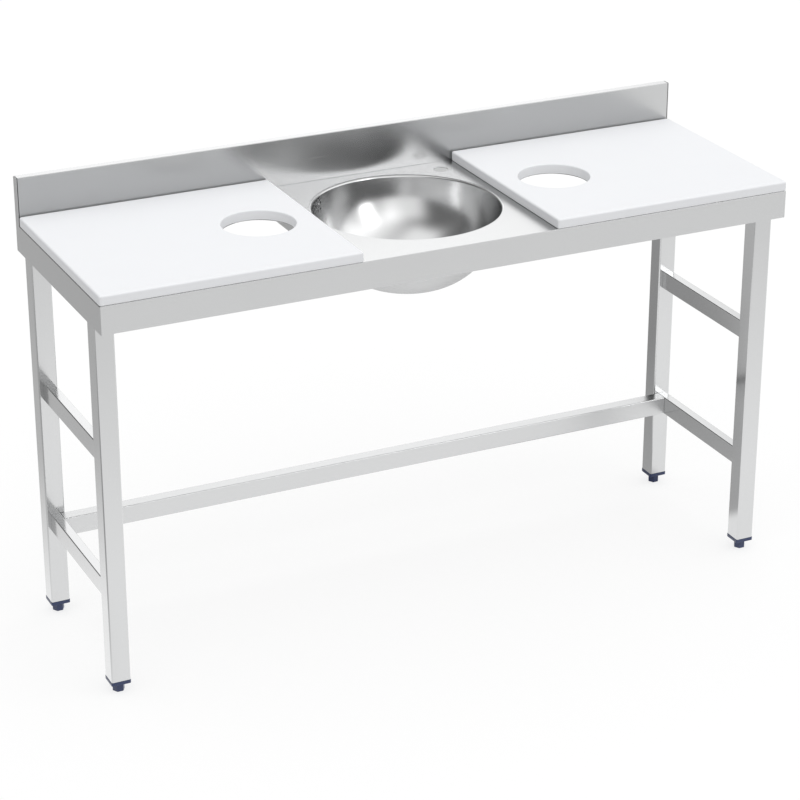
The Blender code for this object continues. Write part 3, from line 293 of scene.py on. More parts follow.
def wear(tree, shader, colour, tint, fine, broad, fine_share, roughness, spread, bump, depth):
    """Colour that wanders with the broad noise, roughness with both, relief with the fine one."""
    darker = tuple((1 - tint) * c for c in colour)
    lighter = tuple(min(1.0, (1 + tint) * c) for c in colour)
    tree.links.new(tree.blend_colour(broad, darker, lighter), shader.inputs["Base Color"])
    shade = tree.maths(
        "ADD",
        tree.maths("MULTIPLY", fine, fine_share),
        tree.maths("MULTIPLY", broad, 1 - fine_share),
    )
    rough = tree.ranged(shade, *NOISE_REACH, roughness - spread, roughness + spread)
    tree.links.new(rough, shader.inputs["Roughness"])
    relief = tree.add("ShaderNodeBump", {"Strength": bump, "Distance": depth, "Height": fine})
    tree.links.new(relief.outputs[0], shader.inputs["Normal"])


def brushed_steel(name, colour, roughness, grain):
    """Stainless steel brushed along grain, with soft handling marks."""
    material, tree, shader, place = new_surface(name)
    stretch = tuple(1 if axis == grain else BRUSH_STRETCH for axis in "XYZ")
    wear(
        tree,
        shader,
        colour,
        tint=0.015,
        fine=tree.noise(place, 12.0, 3.0, 0.6, stretch),
        broad=tree.noise(place, 5.0, 3.0, 0.55),
        fine_share=0.6,
        roughness=roughness,
        spread=0.015,
        bump=0.001,
        depth=0.0002,
    )
    shader.inputs["Metallic"].default_value = 1.0
    return material


def polished_bowl(name, colour, roughness):
    """Deep-drawn steel, satin polished in rings about the bowl's axis."""
    material, tree, shader, place = new_surface(name)
    parts = tree.add("ShaderNodeSeparateXYZ", {0: place}).outputs
    across = tree.maths("SUBTRACT", parts[1], BOWL_Y)
    squares = [tree.maths("POWER", distance, 2.0) for distance in (parts[0], across)]
    radius = tree.maths("SQRT", tree.maths("ADD", *squares))
    ring_place = tree.add("ShaderNodeCombineXYZ", {0: radius, 1: 0.0, 2: parts[2]}).outputs[0]
    wear(
        tree,
        shader,
        colour,
        tint=0.02,
        fine=tree.noise(ring_place, 500.0, 2.0, 0.6),
        broad=tree.noise(place, 7.0, 3.0, 0.5),
        fine_share=0.5,
        roughness=roughness,
        spread=0.02,
        bump=0.0006,
        depth=0.0001,
    )
    shader.inputs["Metallic"].default_value = 1.0
    return material


def moulded(name, colour, roughness, grain_scale, bump, tint=0.04, specular=0.5):
    """Plastic or rubber with a fine moulded grain and slight unevenness of shade."""
    material, tree, shader, place = new_surface(name)
    wear(
        tree,
        shader,
        colour,
        tint=tint,
        fine=tree.noise(place, grain_scale, 2.0, 0.6),
        broad=tree.noise(place, 9.0, 3.0, 0.5),
        fine_share=0.5,
        roughness=roughness,
        spread=0.06,
        bump=bump,
        depth=0.0001,
    )
    shader.inputs["Specular IOR Level"].default_value = specular
    return material


# Making pieces


def finish_piece(name, bm, material, body, node, angle=30):
    """A smooth-shaded piece with its sharp edges kept, which rides a body and stands for a CAD node.

    Its faces keep their material indices, so a second material can follow the first one.
    """
    bmesh.ops.recalc_face_normals(bm, faces=bm.faces)
    mesh = bpy.data.meshes.new(name)
    bm.to_mesh(mesh)
    bm.free()
    mesh.shade_smooth()
    mesh.set_sharp_from_angle(angle=radians(angle))
    mesh.materials.append(material)
    piece = bpy.data.objects.new(name, mesh)
    bpy.context.scene.collection.objects.link(piece)
    weights = piece.modifiers.new("weighted_normals", "WEIGHTED_NORMAL")
    weights.keep_sharp = True
    weights.weight = LARGE_FACE_WEIGHT
    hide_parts(node)
    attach(piece, body)
    return piece


def carved(bm, cutters, operation="DIFFERENCE"):
    """bm with each cutter cut out of it, or joined to it."""
    made = []
    for body in (bm, *cutters):
        bmesh.ops.recalc_face_normals(body, faces=body.faces)
        mesh = bpy.data.meshes.new("carving")
        body.to_mesh(mesh)
        body.free()
        made.append(bpy.data.objects.new("carving", mesh))
        bpy.context.scene.collection.objects.link(made[-1])
    holder, *tools = made
    for tool in tools:
        modifier = holder.modifiers.new("cut", "BOOLEAN")
        modifier.operation = operation
        modifier.solver = "EXACT"
        modifier.object = tool
    bpy.context.view_layer.update()
    shaped = holder.evaluated_get(bpy.context.evaluated_depsgraph_get())
    result = bmesh.new()
    result.from_mesh(shaped.to_mesh())
    shaped.to_mesh_clear()
    for obj in made:
        data = obj.data
        bpy.data.objects.remove(obj, do_unlink=True)
        bpy.data.meshes.remove(data)
    return result


def placed(axis, u, v, w):
    """The point (u, v) of a flat outline at height w along an axis."""
    return {"X": (w, u, v), "Y": (u, w, v), "Z": (u, v, w)}[axis]


def join_rings(bm, one, two):
    """The faces between two closed rows of as many points."""
    for i in range(len(one)):
        j = (i + 1) % len(one)
        bm.faces.new((one[i], one[j], two[j], two[i]))


def prism(outline, low, high, axis="Z"):
    """A closed prism over a flat outline."""
    bm = bmesh.new()
    rings = [[bm.verts.new(placed(axis, u, v, w)) for u, v in outline] for w in (low, high)]
    join_rings(bm, *rings)
    for ring in rings:
        bm.faces.new(ring)
    return bm


def hollow_prism(outer, inner, low, high, axis):
    """A tube with open ends between two outlines of as many points."""
    bm = bmesh.new()
    loops = [
        [bm.verts.new(placed(axis, u, v, w)) for u, v in outline]
        for outline, w in ((outer, low), (outer, high), (inner, high), (inner, low))
    ]
    for k, loop in enumerate(loops):
        join_rings(bm, loop, loops[(k + 1) % len(loops)])
    return bm


def rectangle(width, height, radius, middle, steps=CORNER_STEPS):
    """The outline of a rectangle with round corners."""
    points = []
    for quarter, (a, b) in enumerate(((1, 1), (-1, 1), (-1, -1), (1, -1))):
        centre = (middle[0] + a * (width / 2 - radius), middle[1] + b * (height / 2 - radius))
        start = quarter * pi / 2
        points += arc(centre, radius, start, start + pi / 2, steps)
    return points


def circle(radius, segments, middle=(0, 0)):
    """The points of a circle's outline, the first one on +X."""
    angles = [2 * pi * i / segments for i in range(segments)]
    return [(middle[0] + radius * cos(a), middle[1] + radius * sin(a)) for a in angles]


def arc(centre, radius, start, end, steps):
    """The points of an arc from one angle to another, both ends included."""
    angles = [start + (end - start) * i / steps for i in range(steps + 1)]
    return [(centre[0] + radius * cos(a), centre[1] + radius * sin(a)) for a in angles]


def folded_outline(path, thickness, radius):
    """The outline of a sheet with right-angle folds to the right, its outer side along path."""
    outer, inner = [], []
    for k in range(len(path) - 1):
        (u0, v0), (u1, v1) = path[k], path[k + 1]
        run = hypot(u1 - u0, v1 - v0)
        along = ((u1 - u0) / run, (v1 - v0) / run)
        right = (along[1], -along[0])
        if k == 0:
            outer.append((u0, v0))
            inner.append((u0 + thickness * right[0], v0 + thickness * right[1]))
        if k == len(path) - 2:
            outer.append((u1, v1))
            inner.append((u1 + thickness * right[0], v1 + thickness * right[1]))
            break
        centre = (u1 + radius * (right[0] - along[0]), v1 + radius * (right[1] - along[1]))
        for i in range(FOLD_STEPS + 1):
            angle = i / FOLD_STEPS * pi / 2
            away = (
                along[0] * sin(angle) - right[0] * cos(angle),
                along[1] * sin(angle) - right[1] * cos(angle),
            )
            outer.append((centre[0] + radius * away[0], centre[1] + radius * away[1]))
            bend = radius - thickness
            inner.append((centre[0] + bend * away[0], centre[1] + bend * away[1]))
    return outer + inner[::-1]


def turned(profile, segments, offset=(0, 0, 0)):
    """A body turned about +Z from a closed (radius, height) profile; a radius of 0 is a pole."""
    bm = bmesh.new()
    shift = Vector(offset)
    rings = []
    for radius, height in profile:
        if radius < TINY:
            rings.append([bm.verts.new(Vector((0, 0, height)) + shift)] * segments)
        else:
            rings.append(
                [bm.verts.new(Vector((u, v, height)) + shift) for u, v in circle(radius, segments)]
            )
    for k, one in enumerate(rings):
        two = rings[(k + 1) % len(rings)]
        if one[0] is one[1] and two[0] is two[1]:
            continue
        for i in range(segments):
            j = (i + 1) % segments
            corners = dict.fromkeys((one[i], one[j], two[j], two[i]))
            bm.faces.new(tuple(corners))
    return bm


def lofted(rings):
    """A closed body through rows of as many points, with a flat face on each end."""
    bm = bmesh.new()
    rows = [[bm.verts.new(point) for point in ring] for ring in rings]
    for one, two in zip(rows, rows[1:]):
        join_rings(bm, one, two)
    bm.faces.new(rows[0])
    bm.faces.new(rows[-1])
    return bm


def slab(width, depth, corner, low, high, top_round, foot_round, middle):
    """A rectangular block with round corners, rounded at its top and its foot."""
    places = []
    for i in range(SLAB_FOOT_STEPS + 1):
        angle = pi / 2 * (1 - i / SLAB_FOOT_STEPS)
        places.append((foot_round * (1 - cos(angle)), low + foot_round * (1 - sin(angle))))
    for i in range(SLAB_TOP_STEPS + 1):
        angle = pi / 2 * i / SLAB_TOP_STEPS
        places.append((top_round * (1 - cos(angle)), high - top_round * (1 - sin(angle))))
    rings = []
    for inset, z in places:
        radius = max(corner - inset, SLAB_LEAST_CORNER)
        outline = rectangle(width - 2 * inset, depth - 2 * inset, radius, middle)
        rings.append([(u, v, z) for u, v in outline])
    return lofted(rings)


def aimed(origin, direction):
    """The matrix that puts local +Z along direction, at origin."""
    turn = Vector(direction).to_track_quat("Z", "Y").to_matrix().to_4x4()
    return Matrix.Translation(origin) @ turn


def middle_of(node):
    low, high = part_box(node)
    return (low + high) / 2


# Worktop and backsplash


WORK_LOW, WORK_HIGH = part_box("worktop_sheet")
BOWL_LOW, BOWL_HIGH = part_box("sink_bowl")
X_END = WORK_HIGH.x
Y_FRONT = WORK_LOW.y
Y_REAR = WORK_HIGH.y
WORKTOP_HEIGHT = WORK_HIGH.z
APRON_BOTTOM = WORK_LOW.z
SPLASH_FRONT = Y_REAR - SPLASH_THICKNESS
SPLASH_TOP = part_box("backsplash")[1].z
DECK_UNDER = WORKTOP_HEIGHT - SHEET
# Distance back plus height, anywhere on the mitre where a side apron ends
MITRE = SPLASH_FRONT - GAP * sqrt(2) + WORKTOP_HEIGHT
BOWL_RIM_RADIUS = (BOWL_HIGH.x - BOWL_LOW.x) / 2
BOWL_Y = (BOWL_HIGH.y + BOWL_LOW.y) / 2
BOWL_UNDER = BOWL_LOW.z
BOWL_FLOOR = BOWL_UNDER + BOWL_SHEET
BOWL_FLOOR_RADIUS = FLANGE_RADIUS - FLANGE_LAP
BOWL_CORNER_RADIUS = BOWL_RIM_RADIUS - BOWL_DRAFT - BOWL_FLOOR_RADIUS
BOARD_INNER_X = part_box("cutting_board_right")[0].x
BOARD_MIDDLE_Y = middle_of("cutting_board_right").y
WASTE_HOLE_X = BOARD_INNER_X + WASTE_HOLE_INSET


def rear_end(height):
    """How far back a side apron reaches at a height, with the mitre under the backsplash's end."""
    return min(Y_REAR, MITRE - height)


def apron_ring(bm, inset, height):
    """Points round the aprons from left rear to right rear, inset from the outer side."""
    ring = [bm.verts.new((inset - X_END, rear_end(height), height))]
    for side, start in ((-1, pi), (1, 1.5 * pi)):
        centre = (side * (X_END - FOLD_RADIUS), Y_FRONT + FOLD_RADIUS)
        if abs(inset - FOLD_RADIUS) < TINY:
            ring += [bm.verts.new((*centre, height))] * (FOLD_STEPS + 1)
            continue
        for u, v in arc(centre, FOLD_RADIUS - inset, start, start + pi / 2, FOLD_STEPS):
            ring.append(bm.verts.new((u, v, height)))
    ring.append(bm.verts.new((X_END - inset, rear_end(height), height)))
    return ring


def apron_rings(bm, skin, low):
    """The rings of one skin of the worktop's sheet, from the aprons' foot to the deck's edge."""
    bend = FOLD_RADIUS - skin
    places = [(skin, low), (skin, MITRE - Y_REAR)]
    centre_height = WORKTOP_HEIGHT - FOLD_RADIUS
    for i in range(FOLD_STEPS):
        angle = i / FOLD_STEPS * pi / 2
        places.append((FOLD_RADIUS - bend * cos(angle), centre_height + bend * sin(angle)))
    places.append((FOLD_RADIUS, WORKTOP_HEIGHT - skin))
    return [apron_ring(bm, inset, height) for inset, height in places]


def make_worktop(materials):
    """The folded sheet: deck, three aprons, a lip in front, and holes for bowl, tap and waste."""
    bm = bmesh.new()
    outer = apron_rings(bm, 0, APRON_BOTTOM)
    inner = apron_rings(bm, SHEET, APRON_BOTTOM + SHEET)
    count = len(outer[0])
    lip_y = Y_FRONT + LIP_WIDTH
    wall_x = X_END - SHEET
    lip_low = [bm.verts.new((side * wall_x, lip_y, APRON_BOTTOM)) for side in (-1, 1)]
    lip_high = [bm.verts.new((side * wall_x, lip_y, APRON_BOTTOM + SHEET)) for side in (-1, 1)]
    feet = [bm.verts.new((side * wall_x, Y_REAR, APRON_BOTTOM)) for side in (-1, 1)]
    for rings in (outer, inner):
        for k in range(len(rings) - 1):
            one, two = rings[k], rings[k + 1]
            for i in range(count - 1):
                corners = list(dict.fromkeys((one[i], one[i + 1], two[i + 1], two[i])))
                if one is inner[0] and i in (0, count - 2):
                    corners.insert(1, lip_high[0 if i == 0 else 1])
                if len(corners) > 2:
                    bm.faces.new(corners)
    bm.faces.new([*outer[0], feet[1], lip_low[1], lip_low[0], feet[0]])
    bm.faces.new([*inner[0][1:-1], lip_high[1], lip_high[0]])
    bm.faces.new([lip_low[0], lip_low[1], lip_high[1], lip_high[0]])
    deck_rear = {}
    for end, way in ((0, -1), (-1, 1)):
        place = 0 if way < 0 else 1
        bm.faces.new([feet[place], lip_low[place], lip_high[place], inner[0][end]])
        bm.faces.new([outer[0][end], outer[1][end], inner[1][end], inner[0][end], feet[place]])
        bm.faces.new([ring[end] for ring in outer[1:]] + [ring[end] for ring in inner[:0:-1]])
        x = way * (X_END - FOLD_RADIUS)
        high = bm.verts.new((x, Y_REAR - SHEET - GAP, WORKTOP_HEIGHT))
        low = bm.verts.new((x, Y_REAR - SHEET - GAP, DECK_UNDER))
        bm.faces.new([outer[-1][end], high, low, inner[-1][end]])
        deck_rear[way] = (high, low)
    for rings, level in ((outer, 0), (inner, 1)):
        edge = list(dict.fromkeys(rings[-1]))
        bm.faces.new([*edge, deck_rear[1][level], deck_rear[-1][level]])
    bm.faces.new([*deck_rear[-1], *deck_rear[1][::-1]])

    cutters = []
    reach = (DECK_UNDER - OVERCUT, WORKTOP_HEIGHT + OVERCUT)
    cutters.append(prism(circle(BOWL_RIM_RADIUS + GAP, BOWL_SEGMENTS, (0, BOWL_Y)), *reach))
    cutters.append(prism(circle(TAP_HOLE_RADIUS, HOLE_SEGMENTS, TAP_HOLE), *reach))
    for side in SIDES.values():
        middle = (side * WASTE_HOLE_X, BOARD_MIDDLE_Y)
        cutters.append(prism(circle(WASTE_HOLE_RADIUS, HOLE_SEGMENTS, middle), *reach))
    bm = carved(bm, cutters)
    steel = materials["worktop"]
    finish_piece("worktop_shell", bm, steel, "table", "worktop_sheet")


def is_at_end(vert):
    return abs(abs(vert.co.x) - X_END) < NEAR


def make_backsplash(materials):
    """The folded backsplash, open at its ends, and a rounded panel at each end."""
    inside = X_END - SHEET - SPLASH_GROOVE
    path = [
        (SPLASH_FRONT, WORKTOP_HEIGHT + GAP),
        (SPLASH_FRONT, SPLASH_TOP),
        (Y_REAR, SPLASH_TOP),
        (Y_REAR, APRON_BOTTOM),
        (Y_REAR - LIP_WIDTH, APRON_BOTTOM),
    ]
    bm = prism(folded_outline(path, SHEET, FOLD_RADIUS), -inside, inside, "X")
    steel = materials["worktop"]
    finish_piece("backsplash_shell", bm, steel, "table", "backsplash")
    front_corner = (SPLASH_FRONT + FOLD_RADIUS, SPLASH_TOP - FOLD_RADIUS)
    rear_corner = (Y_REAR - FOLD_RADIUS, SPLASH_TOP - FOLD_RADIUS)
    end = [(SPLASH_FRONT, WORKTOP_HEIGHT)]
    end += arc(front_corner, FOLD_RADIUS, pi, pi / 2, FOLD_STEPS)
    end += arc(rear_corner, FOLD_RADIUS, pi / 2, 0, FOLD_STEPS)
    end += [(Y_REAR, WORKTOP_HEIGHT - SPLASH_THICKNESS)]
    for name, side in SIDES.items():
        bm = prism(end, side * (X_END - SHEET), side * X_END, "X")
        outside = [edge for edge in bm.edges if all(is_at_end(vert) for vert in edge.verts)]
        bmesh.ops.bevel(
            bm, geom=outside, offset=END_PANEL_EDGE, segments=3, profile=0.5, affect="EDGES"
        )
        node = f"backsplash_end_{name}"
        finish_piece(f"backsplash_end_panel_{name}", bm, steel, "table", node)


# Bowl


SHOULDER_CENTRE = (BOWL_RIM_RADIUS, WORKTOP_HEIGHT - BOWL_RIM_STEP - BOWL_SHOULDER_RADIUS)
CORNER_CENTRE = (BOWL_FLOOR_RADIUS, BOWL_FLOOR + BOWL_CORNER_RADIUS)
CENTRES_APART = hypot(SHOULDER_CENTRE[0] - CORNER_CENTRE[0], SHOULDER_CENTRE[1] - CORNER_CENTRE[1])
CENTRES_SLOPE = atan2(SHOULDER_CENTRE[1] - CORNER_CENTRE[1], SHOULDER_CENTRE[0] - CORNER_CENTRE[0])
WALL_TILT = CENTRES_SLOPE - acos((BOWL_SHOULDER_RADIUS + BOWL_CORNER_RADIUS) / CENTRES_APART)


def bowl_side(offset):
    """The bowl's section from rim to floor, on the sheet's inner side (0) or offset out from it."""
    shoulder = BOWL_SHOULDER_RADIUS - offset
    corner = BOWL_CORNER_RADIUS + offset
    top = arc(SHOULDER_CENTRE, shoulder, pi / 2, pi + WALL_TILT, BOWL_SHOULDER_STEPS)
    bottom = arc(CORNER_CENTRE, corner, WALL_TILT, -pi / 2, BOWL_CORNER_STEPS)
    (u0, v0), (u1, v1) = top[-1], bottom[0]
    wall = [
        (u0 + (u1 - u0) * i / BOWL_WALL_STEPS, v0 + (v1 - v0) * i / BOWL_WALL_STEPS)
        for i in range(1, BOWL_WALL_STEPS)
    ]
    return top + wall + bottom


def overflow_place():
    """The overflow's middle on the inner side of the bowl's straight wall, and the way out."""
    height = WORKTOP_HEIGHT - OVERFLOW_DROP
    across = BOWL_CORNER_RADIUS - sin(WALL_TILT) * (height - CORNER_CENTRE[1])
    radius = CORNER_CENTRE[0] + across / cos(WALL_TILT)
    around = Vector((cos(OVERFLOW_ANGLE), sin(OVERFLOW_ANGLE), 0))
    outward = around * cos(WALL_TILT) + Vector((0, 0, sin(WALL_TILT)))
    return around * radius + Vector((0, BOWL_Y, height)), outward


def make_bowl(materials):
    """The pressed bowl with its overflow holes, polished inside and duller outside."""
    hole = NECK_RADIUS + NECK_CLEARANCE
    inner = bowl_side(0) + [(hole, BOWL_FLOOR)]
    outer = bowl_side(BOWL_SHEET) + [(hole, BOWL_UNDER)]
    bm = turned(inner + outer[::-1], BOWL_SEGMENTS, offset=(0, BOWL_Y, 0))
    place = aimed(*overflow_place())
    cutters = []
    for u, v in [(0, 0)] + circle(OVERFLOW_RING_RADIUS, OVERFLOW_HOLE_COUNT):
        cutter = prism(circle(OVERFLOW_HOLE_RADIUS, SMALL_SEGMENTS), -OVERFLOW_CUT, OVERFLOW_CUT)
        cutter.transform(place @ Matrix.Translation((u, v, 0)))
        cutters.append(cutter)
    bm = carved(bm, cutters)
    bm.normal_update()
    for face in bm.faces:
        outward = face.calc_center_median() - Vector((0, BOWL_Y, WORKTOP_HEIGHT))
        face.material_index = int(face.normal.dot(outward) > 0)
    bowl = finish_piece("bowl_shell", bm, materials["bowl"], "table", "sink_bowl", 40)
    bowl.data.materials.append(materials["bowl_outside"])


# Waste and overflow


def heights_and_radius(node):
    """The foot, the top and the radius of a round CAD piece."""
    low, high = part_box(node)
    return low.z, high.z, (high.x - low.x) / 2


def rounded(radius, top, steps=5):
    """The profile round a turned piece's upper outer edge."""
    centre = (radius - TURNED_EDGE, top - TURNED_EDGE)
    return arc(centre, TURNED_EDGE, 0, pi / 2, steps)


def make_strainer(materials):
    """The flange in the bowl's floor, with its neck and the strainer across it."""
    low, high, radius = heights_and_radius("drain_flange")
    seat = high - FLANGE_THICKNESS
    grid_top = low + STRAINER_THICKNESS
    bore = DRAIN_SCREW_RADIUS + GAP
    mouth = (NECK_INSIDE + TURNED_EDGE, high - TURNED_EDGE)
    corner = (NECK_INSIDE - STRAINER_CORNER, grid_top + STRAINER_CORNER)
    profile = [(radius, seat), (radius, seat + FLANGE_RIM)]
    profile += arc((radius - FLANGE_EDGE, high - FLANGE_EDGE), FLANGE_EDGE, 0, pi / 2, steps=5)
    profile += arc(mouth, TURNED_EDGE, pi / 2, pi, steps=6)
    profile += arc(corner, STRAINER_CORNER, 0, -pi / 2, steps=4)
    profile += [(bore, grid_top), (bore, low), (NECK_RADIUS, low), (NECK_RADIUS, seat)]
    bm = turned(profile, HOLE_SEGMENTS, offset=(0, BOWL_Y, 0))
    holes = []
    for u, v in circle(STRAINER_HOLE_RING, STRAINER_HOLE_COUNT):
        outline = circle(STRAINER_HOLE_RADIUS, SMALL_SEGMENTS, (u, v + BOWL_Y))
        holes.append(prism(outline, low - OVERCUT, grid_top + STRAINER_CUT))
    bm = carved(bm, holes)
    steel = materials["fitting"]
    finish_piece("drain_strainer", bm, steel, "table", "drain_flange")


def make_drain_screw(materials):
    """The screw in the strainer's middle, with a cross slot."""
    low, high, radius = heights_and_radius("drain_screw")
    head = high - DRAIN_SCREW_HEAD_HEIGHT
    profile = [(0, low), (DRAIN_SCREW_RADIUS, low), (DRAIN_SCREW_RADIUS, head), (radius, head)]
    profile += rounded(radius, high)
    profile += [(0, high)]
    bm = turned(profile, BORE_SEGMENTS, offset=(0, BOWL_Y, 0))
    slots = []
    for size in (CROSS_SIZE, CROSS_SIZE[::-1]):
        outline = rectangle(*size, CROSS_CORNER, (0, BOWL_Y), steps=2)
        slots.append(prism(outline, high - CROSS_DEPTH, high + CROSS_CUT))
    bm = carved(bm, slots)
    steel = materials["fitting"]
    finish_piece("drain_screw_cross", bm, steel, "table", "drain_screw")


def make_plug(materials):
    """The plug: a skirt in the neck, a disc with a sunk ring, and a knob on a stem."""
    low, high, radius = heights_and_radius("drain_plug")
    disc = heights_and_radius("drain_flange")[1] + GAP
    disc_top = disc + PLUG_DISC_THICKNESS
    panel = disc_top - PLUG_PANEL_DEPTH
    skirt = NECK_INSIDE - GAP
    knob = high - PLUG_KNOB_RADIUS
    stem_end = -acos(PLUG_STEM_RADIUS / PLUG_KNOB_RADIUS)
    fillet = (PLUG_STEM_RADIUS + PLUG_FILLET, panel + PLUG_FILLET)
    profile = [(0, low), (skirt - PLUG_CHAMFER, low), (skirt, low + PLUG_CHAMFER)]
    profile += [(skirt, disc), (radius, disc)]
    profile += rounded(radius, disc_top)
    profile += [(PLUG_PANEL_RIM, disc_top), (PLUG_PANEL_OUTSIDE, panel), (PLUG_PANEL_INSIDE, panel)]
    profile += arc(fillet, PLUG_FILLET, 1.5 * pi, pi, steps=5)
    profile += arc((0, knob), PLUG_KNOB_RADIUS, stem_end, pi / 2, steps=20)[:-1]
    profile += [(0, high)]
    bm = turned(profile, HOLE_SEGMENTS, offset=(0, BOWL_Y, 0))
    finish_piece("plug_moulding", bm, materials["rubber"], "plug", "drain_plug", 50)


def hose_route():
    """The hose's middle line, from the elbow's spigot round under the bowl to the waste's spigot."""
    around = Vector((cos(OVERFLOW_ANGLE), sin(OVERFLOW_ANGLE), 0))
    axis = Vector((0, BOWL_Y, 0))
    chamber_low, chamber_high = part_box("drain_body")[0].z + TAIL_HEIGHT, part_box("drain_body")[1].z
    drain_height = (chamber_low + chamber_high) / 2
    drain_reach = CHAMBER_RADIUS - SPIGOT_WALL + DRAIN_SPIGOT_LENGTH
    wall_point, outward = overflow_place()
    cup = 2 * OVERFLOW_GASKET - SHEET + GAP + BOWL_SHEET
    spigot_end = wall_point + outward * (cup + ELBOW_DEPTH / 2) - Vector((0, 0, ELBOW_SPIGOT_LENGTH))
    top_radius = (spigot_end - axis).dot(around)

    def at(radius, height):
        return axis + around * radius + Vector((0, 0, height))

    start = at(top_radius, spigot_end.z + HOSE_LAP)
    end = at(drain_reach - HOSE_LAP, drain_height)
    bend_top = at(top_radius, spigot_end.z - HOSE_STRAIGHT)
    bend_foot = at(drain_reach + HOSE_STRAIGHT, drain_height)
    corner = at(top_radius, drain_height)
    knots = [start, at(top_radius, spigot_end.z), bend_top]
    for i in range(1, HOSE_KNOTS):
        t = i / HOSE_KNOTS
        one, two = bend_top.lerp(corner, HOSE_PULL), bend_foot.lerp(corner, HOSE_PULL)
        rest = 1 - t
        knots.append(
            rest**3 * bend_top + 3 * rest**2 * t * one + 3 * rest * t**2 * two + t**3 * bend_foot
        )
    return [*knots, bend_foot, at(drain_reach, drain_height), end]


def smooth_points(knots, steps):
    """Points on a smooth curve through the knots."""
    padded = [2 * knots[0] - knots[1], *knots, 2 * knots[-1] - knots[-2]]
    points = []
    for k in range(1, len(padded) - 2):
        a, b, c, d = padded[k - 1 : k + 3]
        for i in range(steps):
            t = i / steps
            points.append(
                0.5
                * (
                    2 * b
                    + (c - a) * t
                    + (2 * a - 5 * b + 4 * c - d) * t**2
                    + (3 * b - a - 3 * c + d) * t**3
                )
            )
    points.append(knots[-1].copy())
    return points


def make_hose(materials):
    """A ribbed hose with plain cuffs where the clips hold it."""
    points = smooth_points(hose_route(), HOSE_STEPS)
    lengths = [0.0]
    for one, two in zip(points, points[1:]):
        lengths.append(lengths[-1] + (two - one).length)
    total = lengths[-1]
    inner = SPIGOT_RADIUS + GAP
    outer = inner + HOSE_WALL
    along = (points[1] - points[0]).normalized()
    side = along.orthogonal().normalized()
    bm = bmesh.new()
    rows = {"outer": [], "inner": []}
    for k, point in enumerate(points):
        ahead = points[min(k + 1, len(points) - 1)]
        behind = points[max(k - 1, 0)]
        along = (ahead - behind).normalized()
        side = (side - along * side.dot(along)).normalized()
        third = along.cross(side)
        from_end = min(lengths[k], total - lengths[k])
        ribbed = min(1.0, max(0.0, (from_end - HOSE_LAP - HOSE_CUFF) / HOSE_CUFF_FADE))
        dip = HOSE_RIB * ribbed * (0.5 + 0.5 * cos(2 * pi * lengths[k] / HOSE_RIB_PITCH))
        for which, radius in (("outer", outer - dip), ("inner", inner)):
            outline = circle(radius, SMALL_SEGMENTS)
            rows[which].append([bm.verts.new(point + side * u + third * v) for u, v in outline])
    for rings in rows.values():
        for one, two in zip(rings, rings[1:]):
            join_rings(bm, one, two)
    for end in (0, -1):
        join_rings(bm, rows["outer"][end], rows["inner"][end])
    rubber = materials["rubber"]
    hose = finish_piece("hose_ribbed", bm, rubber, "table", "overflow_hose", 60)


# Boards


def make_boards(materials):
    for name, side in SIDES.items():
        low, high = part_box(f"cutting_board_{name}")
        middle = (low + high) / 2
        high.y -= BOARD_REAR_GAP
        middle.y -= BOARD_REAR_GAP / 2
        size = high - low
        bm = slab(
            size.x, size.y, BOARD_CORNER, low.z, high.z, BOARD_EDGE_RADIUS, BOARD_FOOT_RADIUS, middle.xy
        )
        lip = (BOARD_HOLE_RADIUS + BOARD_HOLE_EDGE, high.z - BOARD_HOLE_EDGE)
        foot = (BOARD_HOLE_RADIUS + BOARD_HOLE_FOOT, low.z + BOARD_HOLE_FOOT)
        profile = [(0, low.z - OVERCUT), (foot[0], low.z - OVERCUT)]
        profile += arc(foot, BOARD_HOLE_FOOT, 1.5 * pi, pi, steps=3)
        profile += arc(lip, BOARD_HOLE_EDGE, pi, pi / 2, steps=8)
        profile += [(lip[0], high.z + OVERCUT), (0, high.z + OVERCUT)]
        cutter = turned(profile, HOLE_SEGMENTS, offset=(side * WASTE_HOLE_X, BOARD_MIDDLE_Y, 0))
        bm = carved(bm, [cutter])
        body, node = f"board_{name}", f"cutting_board_{name}"
        finish_piece(f"board_{name}_slab", bm, materials["board"], body, node)


# Frame


def make_tube(name, node, axis, corner, materials):
    """A square or rectangular tube with fine round corners, in a CAD tube's place."""
    low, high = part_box(node)
    middle = (low + high) / 2
    size = high - low
    across = {"X": ("y", "z"), "Y": ("x", "z"), "Z": ("x", "y")}[axis]
    width, height = (getattr(size, letter) for letter in across)
    at = tuple(getattr(middle, letter) for letter in across)
    outer = rectangle(width, height, corner, at)
    inner = rectangle(width - 2 * TUBE_WALL, height - 2 * TUBE_WALL, corner - TUBE_WALL, at)
    along = axis.lower()
    bm = hollow_prism(outer, inner, getattr(low, along), getattr(high, along), axis)
    finish_piece(name, bm, materials[f"tube_{along}"], "table", node, 40)


def make_frame(materials):
    for side in SIDES:
        for end in ENDS:
            make_tube(f"leg_tube_{end}_{side}", f"leg_{end}_{side}", "Z", LEG_CORNER_RADIUS, materials)
        for level in ("mid", "low"):
            node = f"side_rail_{level}_{side}"
            make_tube(f"rail_tube_{level}_{side}", node, "Y", RAIL_CORNER_RADIUS, materials)
    make_tube("stretcher_tube", "stretcher", "X", RAIL_CORNER_RADIUS, materials)


# Feet


